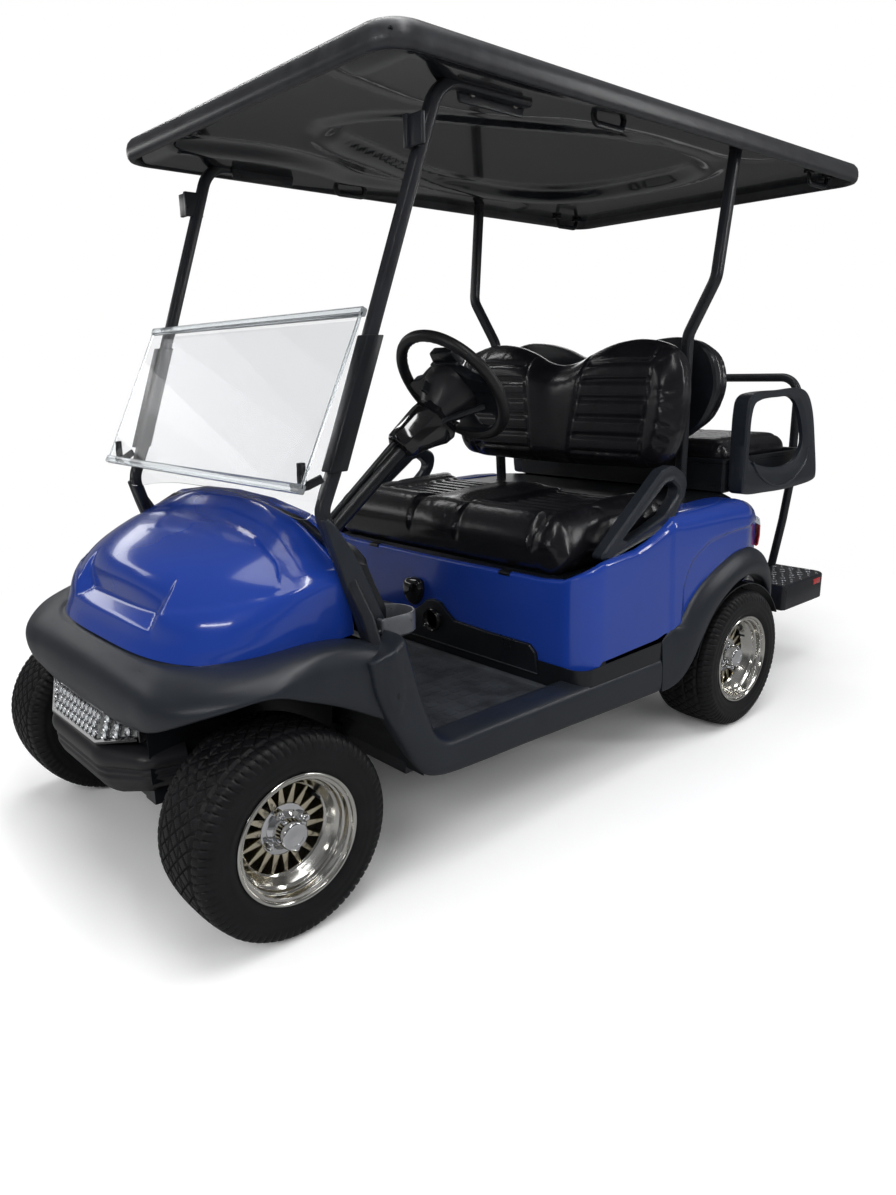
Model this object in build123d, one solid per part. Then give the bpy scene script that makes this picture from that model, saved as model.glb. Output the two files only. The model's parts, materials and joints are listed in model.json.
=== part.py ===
from build123d import *
import os
from math import cos, sin, radians, sqrt

# ---------------------------------------------------------------- driving dimensions, mm
# Stations run along Y from the front axle, +Y rearward; X is the vehicle's left; Z is up from the ground.

# running gear
WHEELBASE = 1664
TYRE_R = 229.5                # 205/50-10
TYRE_W = 205
BEAD_R = 127
FLANGE_R = 141
RIM_W = 178                   # between the flanges
RIM_WALL = 5
FLANGE_T = 6
FRONT_WHEEL_X = 477           # tyre centre, front track 954
REAR_WHEEL_X = 526            # tyre centre, rear track 1052
HUB_R = 42
HUB_PROUD = 48                # hub's outer end beyond the tyre's centre plane
SPIDER_X = 30                 # spoke face at the hub, beyond the centre plane
SPINDLE_R = 20
RUN_CLEAR = 0.05
WINDOWS = 10
KINGPIN_X = FRONT_WHEEL_X - 72
KINGPIN_R = 10
POST_R = 18
POST_HALF = 68
EAR_T = 16
EAR_GAP = 1
BEAM_Z = TYRE_R - 29.5
ARM_END_Y = 72                # track rod eye behind the kingpin
ARM_Z = TYRE_R - 49.5
ROD_R = 8
AXLE_TUBE_R = 36
LEAF_X = REAR_WHEEL_X - TYRE_W / 2 - 73.5
LEAF_W = 50
LEAF_T = 14
LEAF_HALF = 265

# floor and chassis frame
FLOOR_Z = 298
FLOOR_T = 8
FLOOR_HALF = 512
FLOOR_FOOT = 10               # pads between the frame and the floor
MAT_T = 7
RAIL_X = 195
RAIL_W = 50
RAIL_H = 52
RAIL_Z0 = FLOOR_Z - FLOOR_T - FLOOR_FOOT - RAIL_H
RAIL_FRONT = -150
RAIL_REAR = WHEELBASE + 526
KICK_Y0 = WHEELBASE - 284     # rails rise over the rear axle between these stations
KICK_Y1 = WHEELBASE + 286
KICK_UP = 62
MEMBER_W = 50

# skins
SKIN = 5
LID_GAP = 6
SILL_GAP = 2
SILL_W = 84
BODY_HALF = FLOOR_HALF + SILL_GAP + SILL_W
BODY_FRONT = WHEELBASE - 784
BODY_REAR = WHEELBASE + 286

# pillars and struts
PILLAR_R = 22
STRUT_R = 18
SEAT_CLEAR = 0.2
PILLAR_X = FLOOR_HALF - 7     # foot of the front pillar
STRUT_X = FLOOR_HALF - 112    # foot of the rear strut
STRUT_Y = WHEELBASE - 72

# cowl and nose
COWL_HALF = PILLAR_X - 50
COWL_BASE_Z = 573
NOSE_HALF = 255
FENDER_HALF = BODY_HALF - 20
FENDER_REAR = 300
BUMPER_HALF = 258
BUMPER_FRONT = -240
LIGHT_HALF = 248
TRAY_HALF = 405               # inner ends of the dashboard's cup trays
CUP_R = 40
CUP_Y = 352

# rear body and seats
LEDGE_Z = 588
HINGE_Y = BODY_FRONT + 4
HINGE_Z = LEDGE_Z + 8
HINGE_R = 7
HINGE_XS = (-300, 300)
PIN_R = 4
SEAT_HALF = FLOOR_HALF - 12
SEAT_FRONT = BODY_FRONT - 12
SEAT_REAR = BODY_FRONT + 520
CUSHION_Z0 = HINGE_Z + 16
CUSHION_Z1 = CUSHION_Z0 + 163
SOFT_GAP = 0.3
HIP_X = (SEAT_HALF + BODY_HALF) / 2 + 7
HIP_R = 17
ARCH_Y = WHEELBASE + 8
ARCH_Z = TYRE_R - 14.5
ARCH_R = TYRE_R + 32.5
FLARE_X0 = BODY_HALF - 38
FLARE_X1 = BODY_HALF + 26

# roof
ROOF_HALF = BODY_HALF + 2
ROOF_FRONT = 285
ROOF_REAR = WHEELBASE + 606
CEILING_Z = 1757
ROOF_Z0 = CEILING_Z - 30
ROOF_Z1 = CEILING_Z + 33
ROOF_RIM = 48

# rear seat kit
SHOULDER_TOP = LEDGE_Z + 154
KIT_Z0 = SHOULDER_TOP + 1
KIT_FRONT = WHEELBASE + 98
KIT_REAR = WHEELBASE + 656
TRAY_T = 12
TRAY_FLOOR = KIT_Z0 + 69
BASE_HALF = 455
ARM_T = 55
PLATE_HALF = 485
PLATE_FRONT = WHEELBASE + 536
PLATE_REAR = WHEELBASE + 881
PLATE_Z0 = 255
PLATE_Z1 = PLATE_Z0 + 97
PLATE_T = 8
HOOP_HALF = 322
HOOP_Y = PLATE_REAR - 45
HOOP_TOP = 1106
HOOP_R = 16

# steering wheel
COLUMN_X = 240
COLUMN_TILT = 38.5            # column above level
COLUMN_R = 24
WHEEL_C = (COLUMN_X, 745, 1112)
WHEEL_R = 172
WHEEL_TUBE = 13

# The whole model is moved so that its box is centred on Y.
MID_Y = (BUMPER_FRONT + PLATE_REAR) / 2


# ---------------------------------------------------------------- helpers
def box(x0, x1, y0, y1, z0, z1):
    return Pos((x0 + x1) / 2, (y0 + y1) / 2, (z0 + z1) / 2) * Box(x1 - x0, y1 - y0, z1 - z0)


def prism_x(outline, x0, x1):
    """Closed (y, z) outline between two X planes."""
    face = Plane.YZ.offset(x0) * make_face(Polyline(*outline, close=True))
    return extrude(face, amount=x1 - x0, dir=(1, 0, 0))


def prism_y(outline, y0, y1):
    """Closed (x, z) outline between two Y planes."""
    face = Pos(0, y0, 0) * (Plane.XZ * make_face(Polyline(*outline, close=True)))
    return extrude(face, amount=y1 - y0, dir=(0, 1, 0))


def prism_z(outline, z0, z1):
    """Closed (x, y) outline between two Z planes."""
    face = Pos(0, 0, z0) * make_face(Polyline(*outline, close=True))
    return extrude(face, amount=z1 - z0, dir=(0, 0, 1))


def aft(outline):
    """Turn an outline given from the rear axle into stations."""
    return [(WHEELBASE + y, z) for y, z in outline]


def slab(x0, x1, y0, y1, z0, z1, radius):
    """Box with its four upright edges rounded."""
    block = box(x0, x1, y0, y1, z0, z1)
    return fillet(block.edges().filter_by(Axis.Z), radius)


def rod(start, end, radius):
    """Round bar between two points."""
    start, end = Vector(*start), Vector(*end)
    plane = Plane(origin=start, z_dir=end - start)
    return plane * Cylinder(radius, (end - start).length, align=(Align.CENTER, Align.CENTER, Align.MIN))


def tube(points, radius, bends):
    """Round tube along straight runs joined by arcs; bends gives one radius for each corner."""
    path = FilletPolyline(*points, radius=bends)
    section = Plane(origin=path @ 0, z_dir=path % 0) * Circle(radius)
    return sweep(section, path=path)


def loop_tube(points, radius, bend):
    """Closed round tube around a polygon with rounded corners."""
    path = FilletPolyline(*points, radius=bend, close=True)
    section = Plane(origin=path @ 0, z_dir=path % 0) * Circle(radius)
    return sweep(section, path=path)


def flip(part):
    return mirror(part, about=Plane.YZ)


def pair(part):
    return Compound([part, flip(part)])


def ring(outline, x):
    """Turn a closed (x, r) outline about the wheel axis that runs along X."""
    face = make_face(Polyline(*[(px, pr) for px, pr in outline], close=True))
    return Pos(x, 0, 0) * revolve(face, axis=Axis.X)


# ---------------------------------------------------------------- wheels
# Tyre section: (offset from the centre plane, radius) for the outer half.
TYRE_HALF = [(RIM_W / 2, BEAD_R), (RIM_W / 2, FLANGE_R + 1), (98, 158), (TYRE_W / 2, 180), (100, 203),
             (90, 222), (70, 228), (30, TYRE_R)]


def tyre():
    outline = TYRE_HALF + [(-dx, r) for dx, r in reversed(TYRE_HALF)]
    return ring(outline, 0)


def rim():
    half, lip = RIM_W / 2, RIM_W / 2 + FLANGE_T
    inner = BEAD_R - RIM_WALL
    barrel = ring([(-lip, inner), (-lip, FLANGE_R), (-half, FLANGE_R), (-half, BEAD_R), (half, BEAD_R),
                   (half, FLANGE_R), (lip, FLANGE_R), (lip, inner)], 0)
    spider = ring([(SPIDER_X - 12, SPINDLE_R + RUN_CLEAR), (SPIDER_X - 12, 60), (half - 34, inner + 1),
                   (half - 22, inner + 1), (SPIDER_X + 2, 60), (HUB_PROUD, HUB_R), (HUB_PROUD, SPINDLE_R + RUN_CLEAR)], 0)
    window = prism_x([(-9, 66), (9, 66), (20, inner - 8), (-20, inner - 8)], 0, lip)
    for i in range(WINDOWS):
        spider -= Rot(X=i * 360 / WINDOWS) * window
    return barrel + spider


def place_wheel(part, x, y):
    """The part's outer side faces away from the vehicle on both sides."""
    part = part if x > 0 else flip(part)
    return Pos(x, y, TYRE_R) * part


# ---------------------------------------------------------------- front suspension and steering
def knuckle():
    """Left knuckle: post on the kingpin axis, spindle to the hub, steering arm rearward."""
    post = Pos(KINGPIN_X, 0, TYRE_R) * Cylinder(POST_R, 2 * POST_HALF)
    pin = Pos(KINGPIN_X, 0, TYRE_R) * Cylinder(KINGPIN_R, 2 * (POST_HALF + EAR_GAP + EAR_T))
    spindle = rod((KINGPIN_X, 0, TYRE_R), (FRONT_WHEEL_X + HUB_PROUD, 0, TYRE_R), SPINDLE_R)
    shoulder = rod((KINGPIN_X, 0, TYRE_R), (FRONT_WHEEL_X + SPIDER_X - 13, 0, TYRE_R), SPINDLE_R + 8)
    arm = box(KINGPIN_X - 8, KINGPIN_X + 8, 0, ARM_END_Y + 8, ARM_Z - 6, ARM_Z + 6)
    return post + pin + spindle + shoulder + arm


def front_axle():
    """Cross beam with a clevis at each end that holds a kingpin, and the mounting saddle."""
    ear_z = POST_HALF + EAR_GAP
    back = KINGPIN_X - POST_R - 7
    side = box(back - 14, back, -14, 14, TYRE_R - ear_z - EAR_T, TYRE_R + ear_z + EAR_T)
    for low in (TYRE_R - ear_z - EAR_T, TYRE_R + ear_z):
        ear = box(back - 14, KINGPIN_X, -POST_R, POST_R, low, low + EAR_T)
        ear += Pos(KINGPIN_X, 0, low + EAR_T / 2) * Cylinder(POST_R, EAR_T)
        side += ear - Pos(KINGPIN_X, 0, low + EAR_T / 2) * Cylinder(KINGPIN_R + RUN_CLEAR, EAR_T)
    beam = box(14 - back, back - 14, -32, 32, BEAM_Z - 16, BEAM_Z + 16)
    inner = RAIL_X - RAIL_W / 2
    saddle = box(-inner, inner, -50, 50, BEAM_Z + 16, RAIL_Z0 + 20)
    return beam + side + flip(side) + saddle


def track_rod():
    """Straight rod above both steering arms."""
    z = ARM_Z + 6 + SOFT_GAP + ROD_R
    return rod((-KINGPIN_X - 6, ARM_END_Y, z), (KINGPIN_X + 6, ARM_END_Y, z), ROD_R)


def column_axis(t):
    """Point on the steering column's axis, t mm below the steering wheel's centre."""
    return (COLUMN_X, WHEEL_C[1] - t * cos(radians(COLUMN_TILT)), WHEEL_C[2] - t * sin(radians(COLUMN_TILT)))


def steering_column():
    jacket = rod(column_axis(560), column_axis(150), 24)
    shroud = rod(column_axis(330), column_axis(66), 42)
    shaft = rod(column_axis(66), column_axis(30), 11)
    return jacket + shroud + shaft


def steering_wheel():
    plane = Plane(origin=WHEEL_C, x_dir=(1, 0, 0),
                  z_dir=(0, cos(radians(COLUMN_TILT)), sin(radians(COLUMN_TILT))))
    rim_ring = Torus(WHEEL_R, WHEEL_TUBE)
    hub = Pos(0, 0, -30) * Cylinder(38, 50) - Pos(0, 0, -46) * Cylinder(11 + RUN_CLEAR, 40)
    pad = Pos(0, 0, 0) * fillet(Box(150, 90, 24).edges().filter_by(Axis.Z), 20)
    spokes = box(-WHEEL_R, WHEEL_R, -12, 12, -10, 2) + box(-12, 12, -WHEEL_R, 0, -10, 2)
    return plane * (rim_ring + pad + spokes + hub)


# ---------------------------------------------------------------- chassis
def frame_rails():
    """Two rails, cross members and the outriggers under the floor."""
    run = [(RAIL_FRONT, 0), (KICK_Y0, 0), (KICK_Y0 + 70, KICK_UP), (KICK_Y1 - 70, KICK_UP), (KICK_Y1, 0),
           (RAIL_REAR, 0)]
    outline = [(y, RAIL_Z0 + up) for y, up in run] + [(y, RAIL_Z0 + RAIL_H + up) for y, up in reversed(run)]
    rail = prism_x(outline, RAIL_X - RAIL_W / 2, RAIL_X + RAIL_W / 2)
    frame = rail + flip(rail)
    for y, half in ((RAIL_FRONT, RAIL_X), (340, FLOOR_HALF - 12), (BODY_FRONT + 20, FLOOR_HALF - 12),
                    (KICK_Y0 - 90, FLOOR_HALF - 60), (RAIL_REAR - 60, RAIL_X)):
        frame += box(-half, half, y, y + MEMBER_W, RAIL_Z0 + 6, RAIL_Z0 + RAIL_H)
    return frame


def floor_pan():
    """Flat floor with a sloped toe board, folded from one sheet."""
    low = FLOOR_Z - FLOOR_T
    rear = BODY_FRONT + SKIN
    bend_z, lip_z = FLOOR_Z + 180, COWL_BASE_Z - 13
    outline = [(rear, low), (rear, FLOOR_Z), (345, FLOOR_Z), (262, bend_z), (262, lip_z), (254, lip_z),
               (254, bend_z - 2), (340, low)]
    rail_top = RAIL_Z0 + RAIL_H
    pan = prism_x(outline, -FLOOR_HALF, FLOOR_HALF)
    for y in (345, BODY_FRONT - 60):
        pan += box(-FLOOR_HALF + 40, FLOOR_HALF - 40, y, y + MEMBER_W, rail_top, low)
    return pan


def floor_mat():
    y0, y1 = 352, BODY_FRONT - 4
    mat = box(-FLOOR_HALF + 6, FLOOR_HALF - 6, y0, y1, FLOOR_Z, FLOOR_Z + MAT_T)
    return mat


def rocker():
    """Left sill cover."""
    rear = ARCH_Y - ARCH_R - 118
    run = [(305, 2), (345, -42), (740, -66), (rear, -91), (rear, -38), (rear - 77, 8), (700, 24), (383, 36),
           (305, 52)]
    outline = [(y, FLOOR_Z + up) for y, up in run]
    sill = prism_x(outline, FLOOR_HALF + SILL_GAP, BODY_HALF)
    sill = fillet(sill.faces().sort_by(Axis.X)[-1].edges(), 14)
    return sill


# ---------------------------------------------------------------- front body
PILLAR_TOP_Z = CEILING_Z - PILLAR_R - SEAT_CLEAR
PILLAR = [(PILLAR_X - 2, 735, PILLAR_TOP_Z), (PILLAR_X - 2, 478, PILLAR_TOP_Z - 6), (PILLAR_X - 18, 217, 952),
          (PILLAR_X - 29, 165, 872), (PILLAR_X - 15, 215, 700), (PILLAR_X, 320, 480), (PILLAR_X, 330, FLOOR_Z)]
PILLAR_BENDS = [90, 60, 60, 60, 60]


def pillar(radius):
    return tube(PILLAR, radius, PILLAR_BENDS)


def cowl_form(inset):
    """Bonnet volume: side outline crossed with its plan and its arched top."""
    base = COWL_BASE_Z - (0 if inset == 0 else 10)
    side = [(-141 + inset, base), (-139 + inset, 600), (-118 + inset, 655), (-85 + inset, 715),
            (-22 + inset, 783 - inset), (62, 843 - inset), (150, 880 - inset), (205, 886 - inset), (300, 800 - inset),
            (300, base)]
    body = prism_x(side, -COWL_HALF, COWL_HALF)
    w = -inset
    plan_low = [(-COWL_HALF - w, 300), (-COWL_HALF - w, 120), (-400 - w, -60), (-330 - w, -125), (-120, -150),
                (120, -150), (330 + w, -125), (400 + w, -60), (COWL_HALF + w, 120), (COWL_HALF + w, 300)]
    body &= prism_z(plan_low, base, 900)
    arch = [(-COWL_HALF - w, base), (-COWL_HALF - w, 740 + w), (-430, 815 + w), (-356, 848 + w), (-251, 873 + w), (0, 886 + w),
            (251, 873 + w), (356, 848 + w), (430, 815 + w), (COWL_HALF + w, 740 + w), (COWL_HALF + w, base)]
    return body & prism_y(arch, -200, 300)


def front_cowl():
    shell = cowl_form(0) - cowl_form(SKIN)
    behind = prism_x([(205, 900), (190, 860), (225, 570), (320, 570), (320, 900)], -COWL_HALF, COWL_HALF)
    return shell - behind


# Fender section across the vehicle, (x, z), from the bonnet's edge over the crown to the lip.
FENDER_TOP = [(NOSE_HALF, COWL_BASE_Z - 13), (NOSE_HALF, COWL_BASE_Z), (COWL_HALF + 1, COWL_BASE_Z),
              (FENDER_HALF - 94, COWL_BASE_Z + 27), (FENDER_HALF - 48, COWL_BASE_Z + 45),
              (FENDER_HALF - 16, COWL_BASE_Z + 31), (FENDER_HALF, COWL_BASE_Z - 3)]
ARCH_FRONT = [(250, 225), (232, 330), (190, 410), (120, 490), (40, 536), (-40, 550), (-300, 557), (-300, 225)]


def front_fascia():
    """Nose panel below the bonnet, joined to both fenders."""
    nose_line = [(-141, COWL_BASE_Z), (-182, 510), (-188, 412), (-205, 366), (-205, 300)]
    nose_back = [(y + SKIN, z) for y, z in reversed(nose_line)]
    nose = prism_x(nose_line + nose_back, -NOSE_HALF, NOSE_HALF)
    outer = prism_y(FENDER_TOP + [(FENDER_HALF, 250), (NOSE_HALF, 250)], -215, FENDER_REAR)
    inner_top = [(x - (SKIN if x > 500 else 0), z - SKIN) for x, z in FENDER_TOP[1:]]
    inner = prism_y([(NOSE_HALF + SKIN, 200)] + [(NOSE_HALF + SKIN, COWL_BASE_Z - SKIN)] + inner_top[1:]
                    + [(FENDER_HALF - SKIN, 200)], -215 + SKIN, FENDER_REAR - SKIN)
    corner = prism_z([(NOSE_HALF, -141), (330, -141), (420, -215), (700, -215), (700, -300), (0, -300), (0, -141)],
                     200, 700)
    rounder = prism_z([(470, -215), (540, -180), (FENDER_HALF, -110), (700, -110), (700, -300), (470, -300)], 200, 700)
    slope = prism_x([(-300, 545), (-215, 552), (-80, 618), (-80, 700), (-300, 700)], NOSE_HALF, 600)
    fender = outer - inner - rounder - corner - slope
    fender -= prism_x(ARCH_FRONT, NOSE_HALF + SKIN, 600)
    fender -= box(NOSE_HALF - 1, NOSE_HALF + 80, -300, 400, 200, 556)
    fender -= box(0, FLOOR_HALF + 2, 240, 400, 200, 564)
    brow = prism_x([(-141, COWL_BASE_Z), (-182, 510), (-186, 480), (-181, 480), (-177, 508), (-136, 567),
                    (-130, COWL_BASE_Z)], -410, 410)
    brow -= prism_z([(300, -141), (420, -60), (420, -300), (300, -300)], 400, 600)
    brow -= prism_z([(-300, -141), (-420, -60), (-420, -300), (-300, -300)], 400, 600)
    return nose + brow + fender + flip(fender)


def front_bumper():
    outline = [(-BUMPER_HALF, -190), (-BUMPER_HALF + 12, -214), (-150, -236), (0, BUMPER_FRONT), (150, -236),
               (BUMPER_HALF - 12, -214), (BUMPER_HALF, -190), (BUMPER_HALF, -150), (-BUMPER_HALF, -150)]
    return prism_z(outline, 272, 364) - box(-NOSE_HALF, NOSE_HALF, -210, -140, 296, 380)


def headlight_bar():
    outline = [(-LIGHT_HALF, -190), (-150, -214), (0, -222), (150, -214), (LIGHT_HALF, -190), (LIGHT_HALF, -183),
               (-LIGHT_HALF, -183)]
    return prism_z(outline, 384, 432)


def dash_panel():
    """Dashboard shell, with a cup tray at each end."""
    low, tray_top, tray_back = 604, 652, CUP_Y + 57
    outer = prism_x([(206, 868), (262, 850), (398, 720), (410, 640), (404, low), (264, low), (232, 700)],
                    -TRAY_HALF, TRAY_HALF)
    inner = prism_x([(200, 860), (258, 843), (392, 716), (404, 640), (398, 600), (200, 600)],
                    SKIN - TRAY_HALF, TRAY_HALF - SKIN)
    crown = prism_x([(206, 868), (262, 850), (330, 785), (326, 779), (258, 843), (202, 861)], -COWL_HALF, COWL_HALF)
    tray = box(TRAY_HALF - SKIN, FLOOR_HALF, CUP_Y - 52, tray_back, low, tray_top)
    tray -= Pos(FLOOR_HALF - 54, CUP_Y, low + 8) * Cylinder(CUP_R, 60, align=(Align.CENTER, Align.CENTER, Align.MIN))
    return outer - inner + crown + tray + flip(tray)


# ---------------------------------------------------------------- windscreen
SCREEN_HALF = PILLAR_X - 18
SCREEN_FOOT_Z = 905
SCREEN_SPLIT_Z = 1255
PANE_T = 6
FOLD_TOP = 63.5               # folded pane's distance ahead of the pillars, at its top and at its free edge
FOLD_LOW = 100.5


def screen_point(z):
    """Y of the pillar's axis at height z on its straight run."""
    (y0, z0), (y1, z1) = PILLAR[2][1:], PILLAR[1][1:]
    return y0 + (z - z0) * (y1 - y0) / (z1 - z0)


def windshield_lower():
    a, b = screen_point(SCREEN_FOOT_Z) - 4, screen_point(SCREEN_SPLIT_Z) - 4
    outline = [(a, SCREEN_FOOT_Z), (b, SCREEN_SPLIT_Z), (b + PANE_T, SCREEN_SPLIT_Z), (a + PANE_T, SCREEN_FOOT_Z)]
    half = SCREEN_HALF - PILLAR_R - 2
    return prism_x(outline, -half, half)


def fold_line():
    """(y, z) of the folded pane's front face at its free edge and at its hinge edge."""
    z0, z1 = SCREEN_FOOT_Z + 25, SCREEN_SPLIT_Z + 20
    return (screen_point(z0) - FOLD_LOW, z0), (screen_point(z1) - FOLD_TOP, z1)


def windshield_upper():
    """Upper pane folded down in front of the lower one."""
    (y0, z0), (y1, z1) = fold_line()
    return prism_x([(y0, z0), (y1, z1), (y1 + PANE_T, z1), (y0 + PANE_T, z0)], -SCREEN_HALF, SCREEN_HALF)


def windshield_rails():
    """Clear rails at the hinge line, at the folded pane's free edge and under the lower pane."""
    (y0, z0), (y1, z1) = fold_line()
    edge, foot_y = SCREEN_HALF - PILLAR_R + 1, screen_point(SCREEN_FOOT_Z)
    top = box(-SCREEN_HALF, SCREEN_HALF, y1 + PANE_T, y1 + 38, z1 - 13, z1 + 9)
    low = box(-SCREEN_HALF, SCREEN_HALF, y0 - 15, y0 + 13, z0 - 18, z0 + 18) - windshield_upper()
    lower_edge = box(-edge, edge, foot_y - 25, foot_y - 1, SCREEN_FOOT_Z - 11, SCREEN_FOOT_Z + 1)
    return top + low + lower_edge


def screen_channel():
    """Black channel that clips the lower pane to the left pillar."""
    z0, z1 = SCREEN_FOOT_Z + 47, SCREEN_SPLIT_Z - 31
    a, b = screen_point(z0), screen_point(z1)
    outline = [(a - 26, z0), (b - 26, z1), (b + 14, z1), (a + 14, z0)]
    return prism_x(outline, SCREEN_HALF - 31, SCREEN_HALF - 3)


# ---------------------------------------------------------------- roof
def canopy():
    shell = slab(-ROOF_HALF, ROOF_HALF, ROOF_FRONT, ROOF_REAR, ROOF_Z0, ROOF_Z1, 90)
    shell = fillet(shell.faces().sort_by(Axis.Z)[-1].edges(), 34)
    well = slab(-ROOF_HALF + ROOF_RIM, ROOF_HALF - ROOF_RIM, ROOF_FRONT + ROOF_RIM, ROOF_REAR - ROOF_RIM,
                ROOF_Z0 - 10, CEILING_Z, 60)
    return shell - well


REAR_STRUT = [(PILLAR_X + 16, STRUT_Y + 5, CEILING_Z + 30), (PILLAR_X + 3, STRUT_Y - 36, 1403),
              (STRUT_X + 12, STRUT_Y - 19, 1245), (STRUT_X, STRUT_Y, SHOULDER_TOP - 30)]


def rear_strut():
    return tube(REAR_STRUT, STRUT_R, [60, 60]) & box(0, ROOF_HALF, 0, ROOF_REAR, SHOULDER_TOP, CEILING_Z)


# ---------------------------------------------------------------- rear body
BODY_LOW = FLOOR_Z + 32
BODY_SIDE = [(BODY_FRONT, FLOOR_Z), (BODY_FRONT, LEDGE_Z + 52), (BODY_FRONT + 16, LEDGE_Z + 70),
             (BODY_FRONT + 420, LEDGE_Z + 104), (BODY_REAR - 310, SHOULDER_TOP), (BODY_REAR - 190, SHOULDER_TOP - 7),
             (BODY_REAR - 100, SHOULDER_TOP - 52), (BODY_REAR - 30, SHOULDER_TOP - 142),
             (BODY_REAR, SHOULDER_TOP - 202), (BODY_REAR, BODY_LOW), (BODY_FRONT + 330, BODY_LOW),
             (BODY_FRONT + 310, BODY_LOW + 15), (BODY_FRONT + 6, BODY_LOW + 15), (BODY_FRONT + 6, FLOOR_Z)]


def shoulder_z(y):
    """Height of the body's shoulder beside the front seat."""
    (y0, z0), (y1, z1) = BODY_SIDE[2], BODY_SIDE[3]
    return z0 + (y - y0) * (z1 - z0) / (y1 - y0)


def body_form(inset):
    """Outer body volume, or its hollow when inset, open below."""
    middle_y, middle_z = (BODY_FRONT + BODY_REAR) / 2, (LEDGE_Z + BODY_LOW) / 2
    side = []
    for y, z in BODY_SIDE:
        near_end = abs(y - middle_y) > (BODY_REAR - BODY_FRONT) / 2 - 50
        toward = inset if y < middle_y else -inset
        side.append((y + (toward if near_end else 0), z - inset if z > middle_z else z - 8 * inset))
    half, rear = BODY_HALF - inset, BODY_REAR - inset
    plan = [(-half, BODY_FRONT - 5), (half, BODY_FRONT - 5), (half, BODY_REAR - 250), (half - 60, BODY_REAR - 100),
            (half - 170, rear), (-half + 170, rear), (-half + 60, BODY_REAR - 100), (-half, BODY_REAR - 250)]
    return prism_x(side, -half, half) & prism_z(plan, 0, SHOULDER_TOP + 50)


def flare_outline():
    """(y, z) outline of the flare's outer face, from the wheel arch's centre."""
    run = [(-372, -25), (-376, 85), (-342, 215), (-259, 315), (-132, 375), (8, 385), (128, 345), (218, 255),
           (278, 135), (278, -25)]
    return [(ARCH_Y + y, ARCH_Z + z) for y, z in run]


def rear_body():
    shell = body_form(0) - body_form(SKIN)
    shell -= prism_x(flare_outline(), -FLARE_X1, FLARE_X1)
    well = box(-SEAT_HALF - LID_GAP, SEAT_HALF + LID_GAP, BODY_FRONT - 20, SEAT_REAR + LID_GAP, LEDGE_Z,
               SHOULDER_TOP + 20)
    corner = box(FLOOR_HALF, FLARE_X1, BODY_FRONT - 20, BODY_FRONT + 10, 0, BODY_LOW + 15)
    shell -= well + corner + flip(corner)
    for hinge in seat_hinges():
        shell += hinge
    return shell


def rear_flare():
    """Left wheel-arch flare with the liner that reaches in over the tyre."""
    flare = prism_x(flare_outline(), FLARE_X0, FLARE_X1)
    flare = fillet(flare.faces().sort_by(Axis.X)[-1].edges(), 20)
    run = [(-302, 15), (-292, 125), (-232, 225), (-132, 305), (8, 325), (128, 285), (208, 205), (258, 85), (258, 15)]
    outline = [(ARCH_Y + y, ARCH_Z + z) for y, z in run]
    liner = prism_x(outline, min(REAR_WHEEL_X - 120, FLARE_X0 - 20), FLARE_X0)
    opening = Pos(0, ARCH_Y, ARCH_Z) * Rot(Y=90) * Cylinder(ARCH_R, 4 * FLARE_X1)
    below = box(0, FLARE_X1 + 10, ARCH_Y - ARCH_R - 8, ARCH_Y + ARCH_R + 200, 0, ARCH_Z + 55)
    return flare + liner - opening - below


KICK_T = 8


def kick_panel():
    """Black insert across the front of the seat base, with a raised middle."""
    run = [(435, 38), (400, 106), (90, 116), (48, 160)]
    outline = [(-x, FLOOR_Z + up) for x, up in run] + [(x, FLOOR_Z + up) for x, up in reversed(run)]
    return prism_y(outline, BODY_FRONT - KICK_T, BODY_FRONT)


def shift_knob():
    """Direction knob on a round plate on the seat base's front wall."""
    x, z = -89, FLOOR_Z + 181
    plate = rod((x, BODY_FRONT, z), (x, BODY_FRONT - 10, z), 34)
    grip = box(x - 12, x + 12, BODY_FRONT - 30, BODY_FRONT - 9, z - 30, z + 30)
    return plate + fillet(grip.edges().filter_by(Axis.Y), 10)


def charge_port():
    z = FLOOR_Z + 104
    return rod((5, BODY_FRONT - KICK_T, z), (5, BODY_FRONT - KICK_T - 12, z), 36)


def tail_light():
    x0, y0, x1, y1 = BODY_HALF - 60, BODY_REAR - 100, BODY_HALF - 170, BODY_REAR
    corners = ((0.08, 0), (0.7, 0), (0.7, 8), (0.08, 8))
    outline = [(x0 + (x1 - x0) * t + out, y0 + (y1 - y0) * t + out) for t, out in corners]
    return prism_z(outline, SHOULDER_TOP - 186, SHOULDER_TOP - 124)


def battery_pack():
    half = FLOOR_HALF - 112
    return box(-half, half, BODY_FRONT + 50, KICK_Y0 - 90, RAIL_Z0 + RAIL_H, LEDGE_Z - 28)


def rear_axle():
    """Axle tube with the drive unit and two leaf springs."""
    reach = REAR_WHEEL_X + HUB_PROUD
    axle = rod((-reach, WHEELBASE, TYRE_R), (reach, WHEELBASE, TYRE_R), SPINDLE_R)
    inner = REAR_WHEEL_X + SPIDER_X - 13
    axle += rod((-inner, WHEELBASE, TYRE_R), (inner, WHEELBASE, TYRE_R), AXLE_TUBE_R)
    axle += rod((-120, WHEELBASE, TYRE_R), (120, WHEELBASE, TYRE_R), 92)
    axle += rod((-30, WHEELBASE - 60, TYRE_R + 20), (RAIL_X - RAIL_W / 2 - 8, WHEELBASE - 60, TYRE_R + 20), 78)
    return axle


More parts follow.
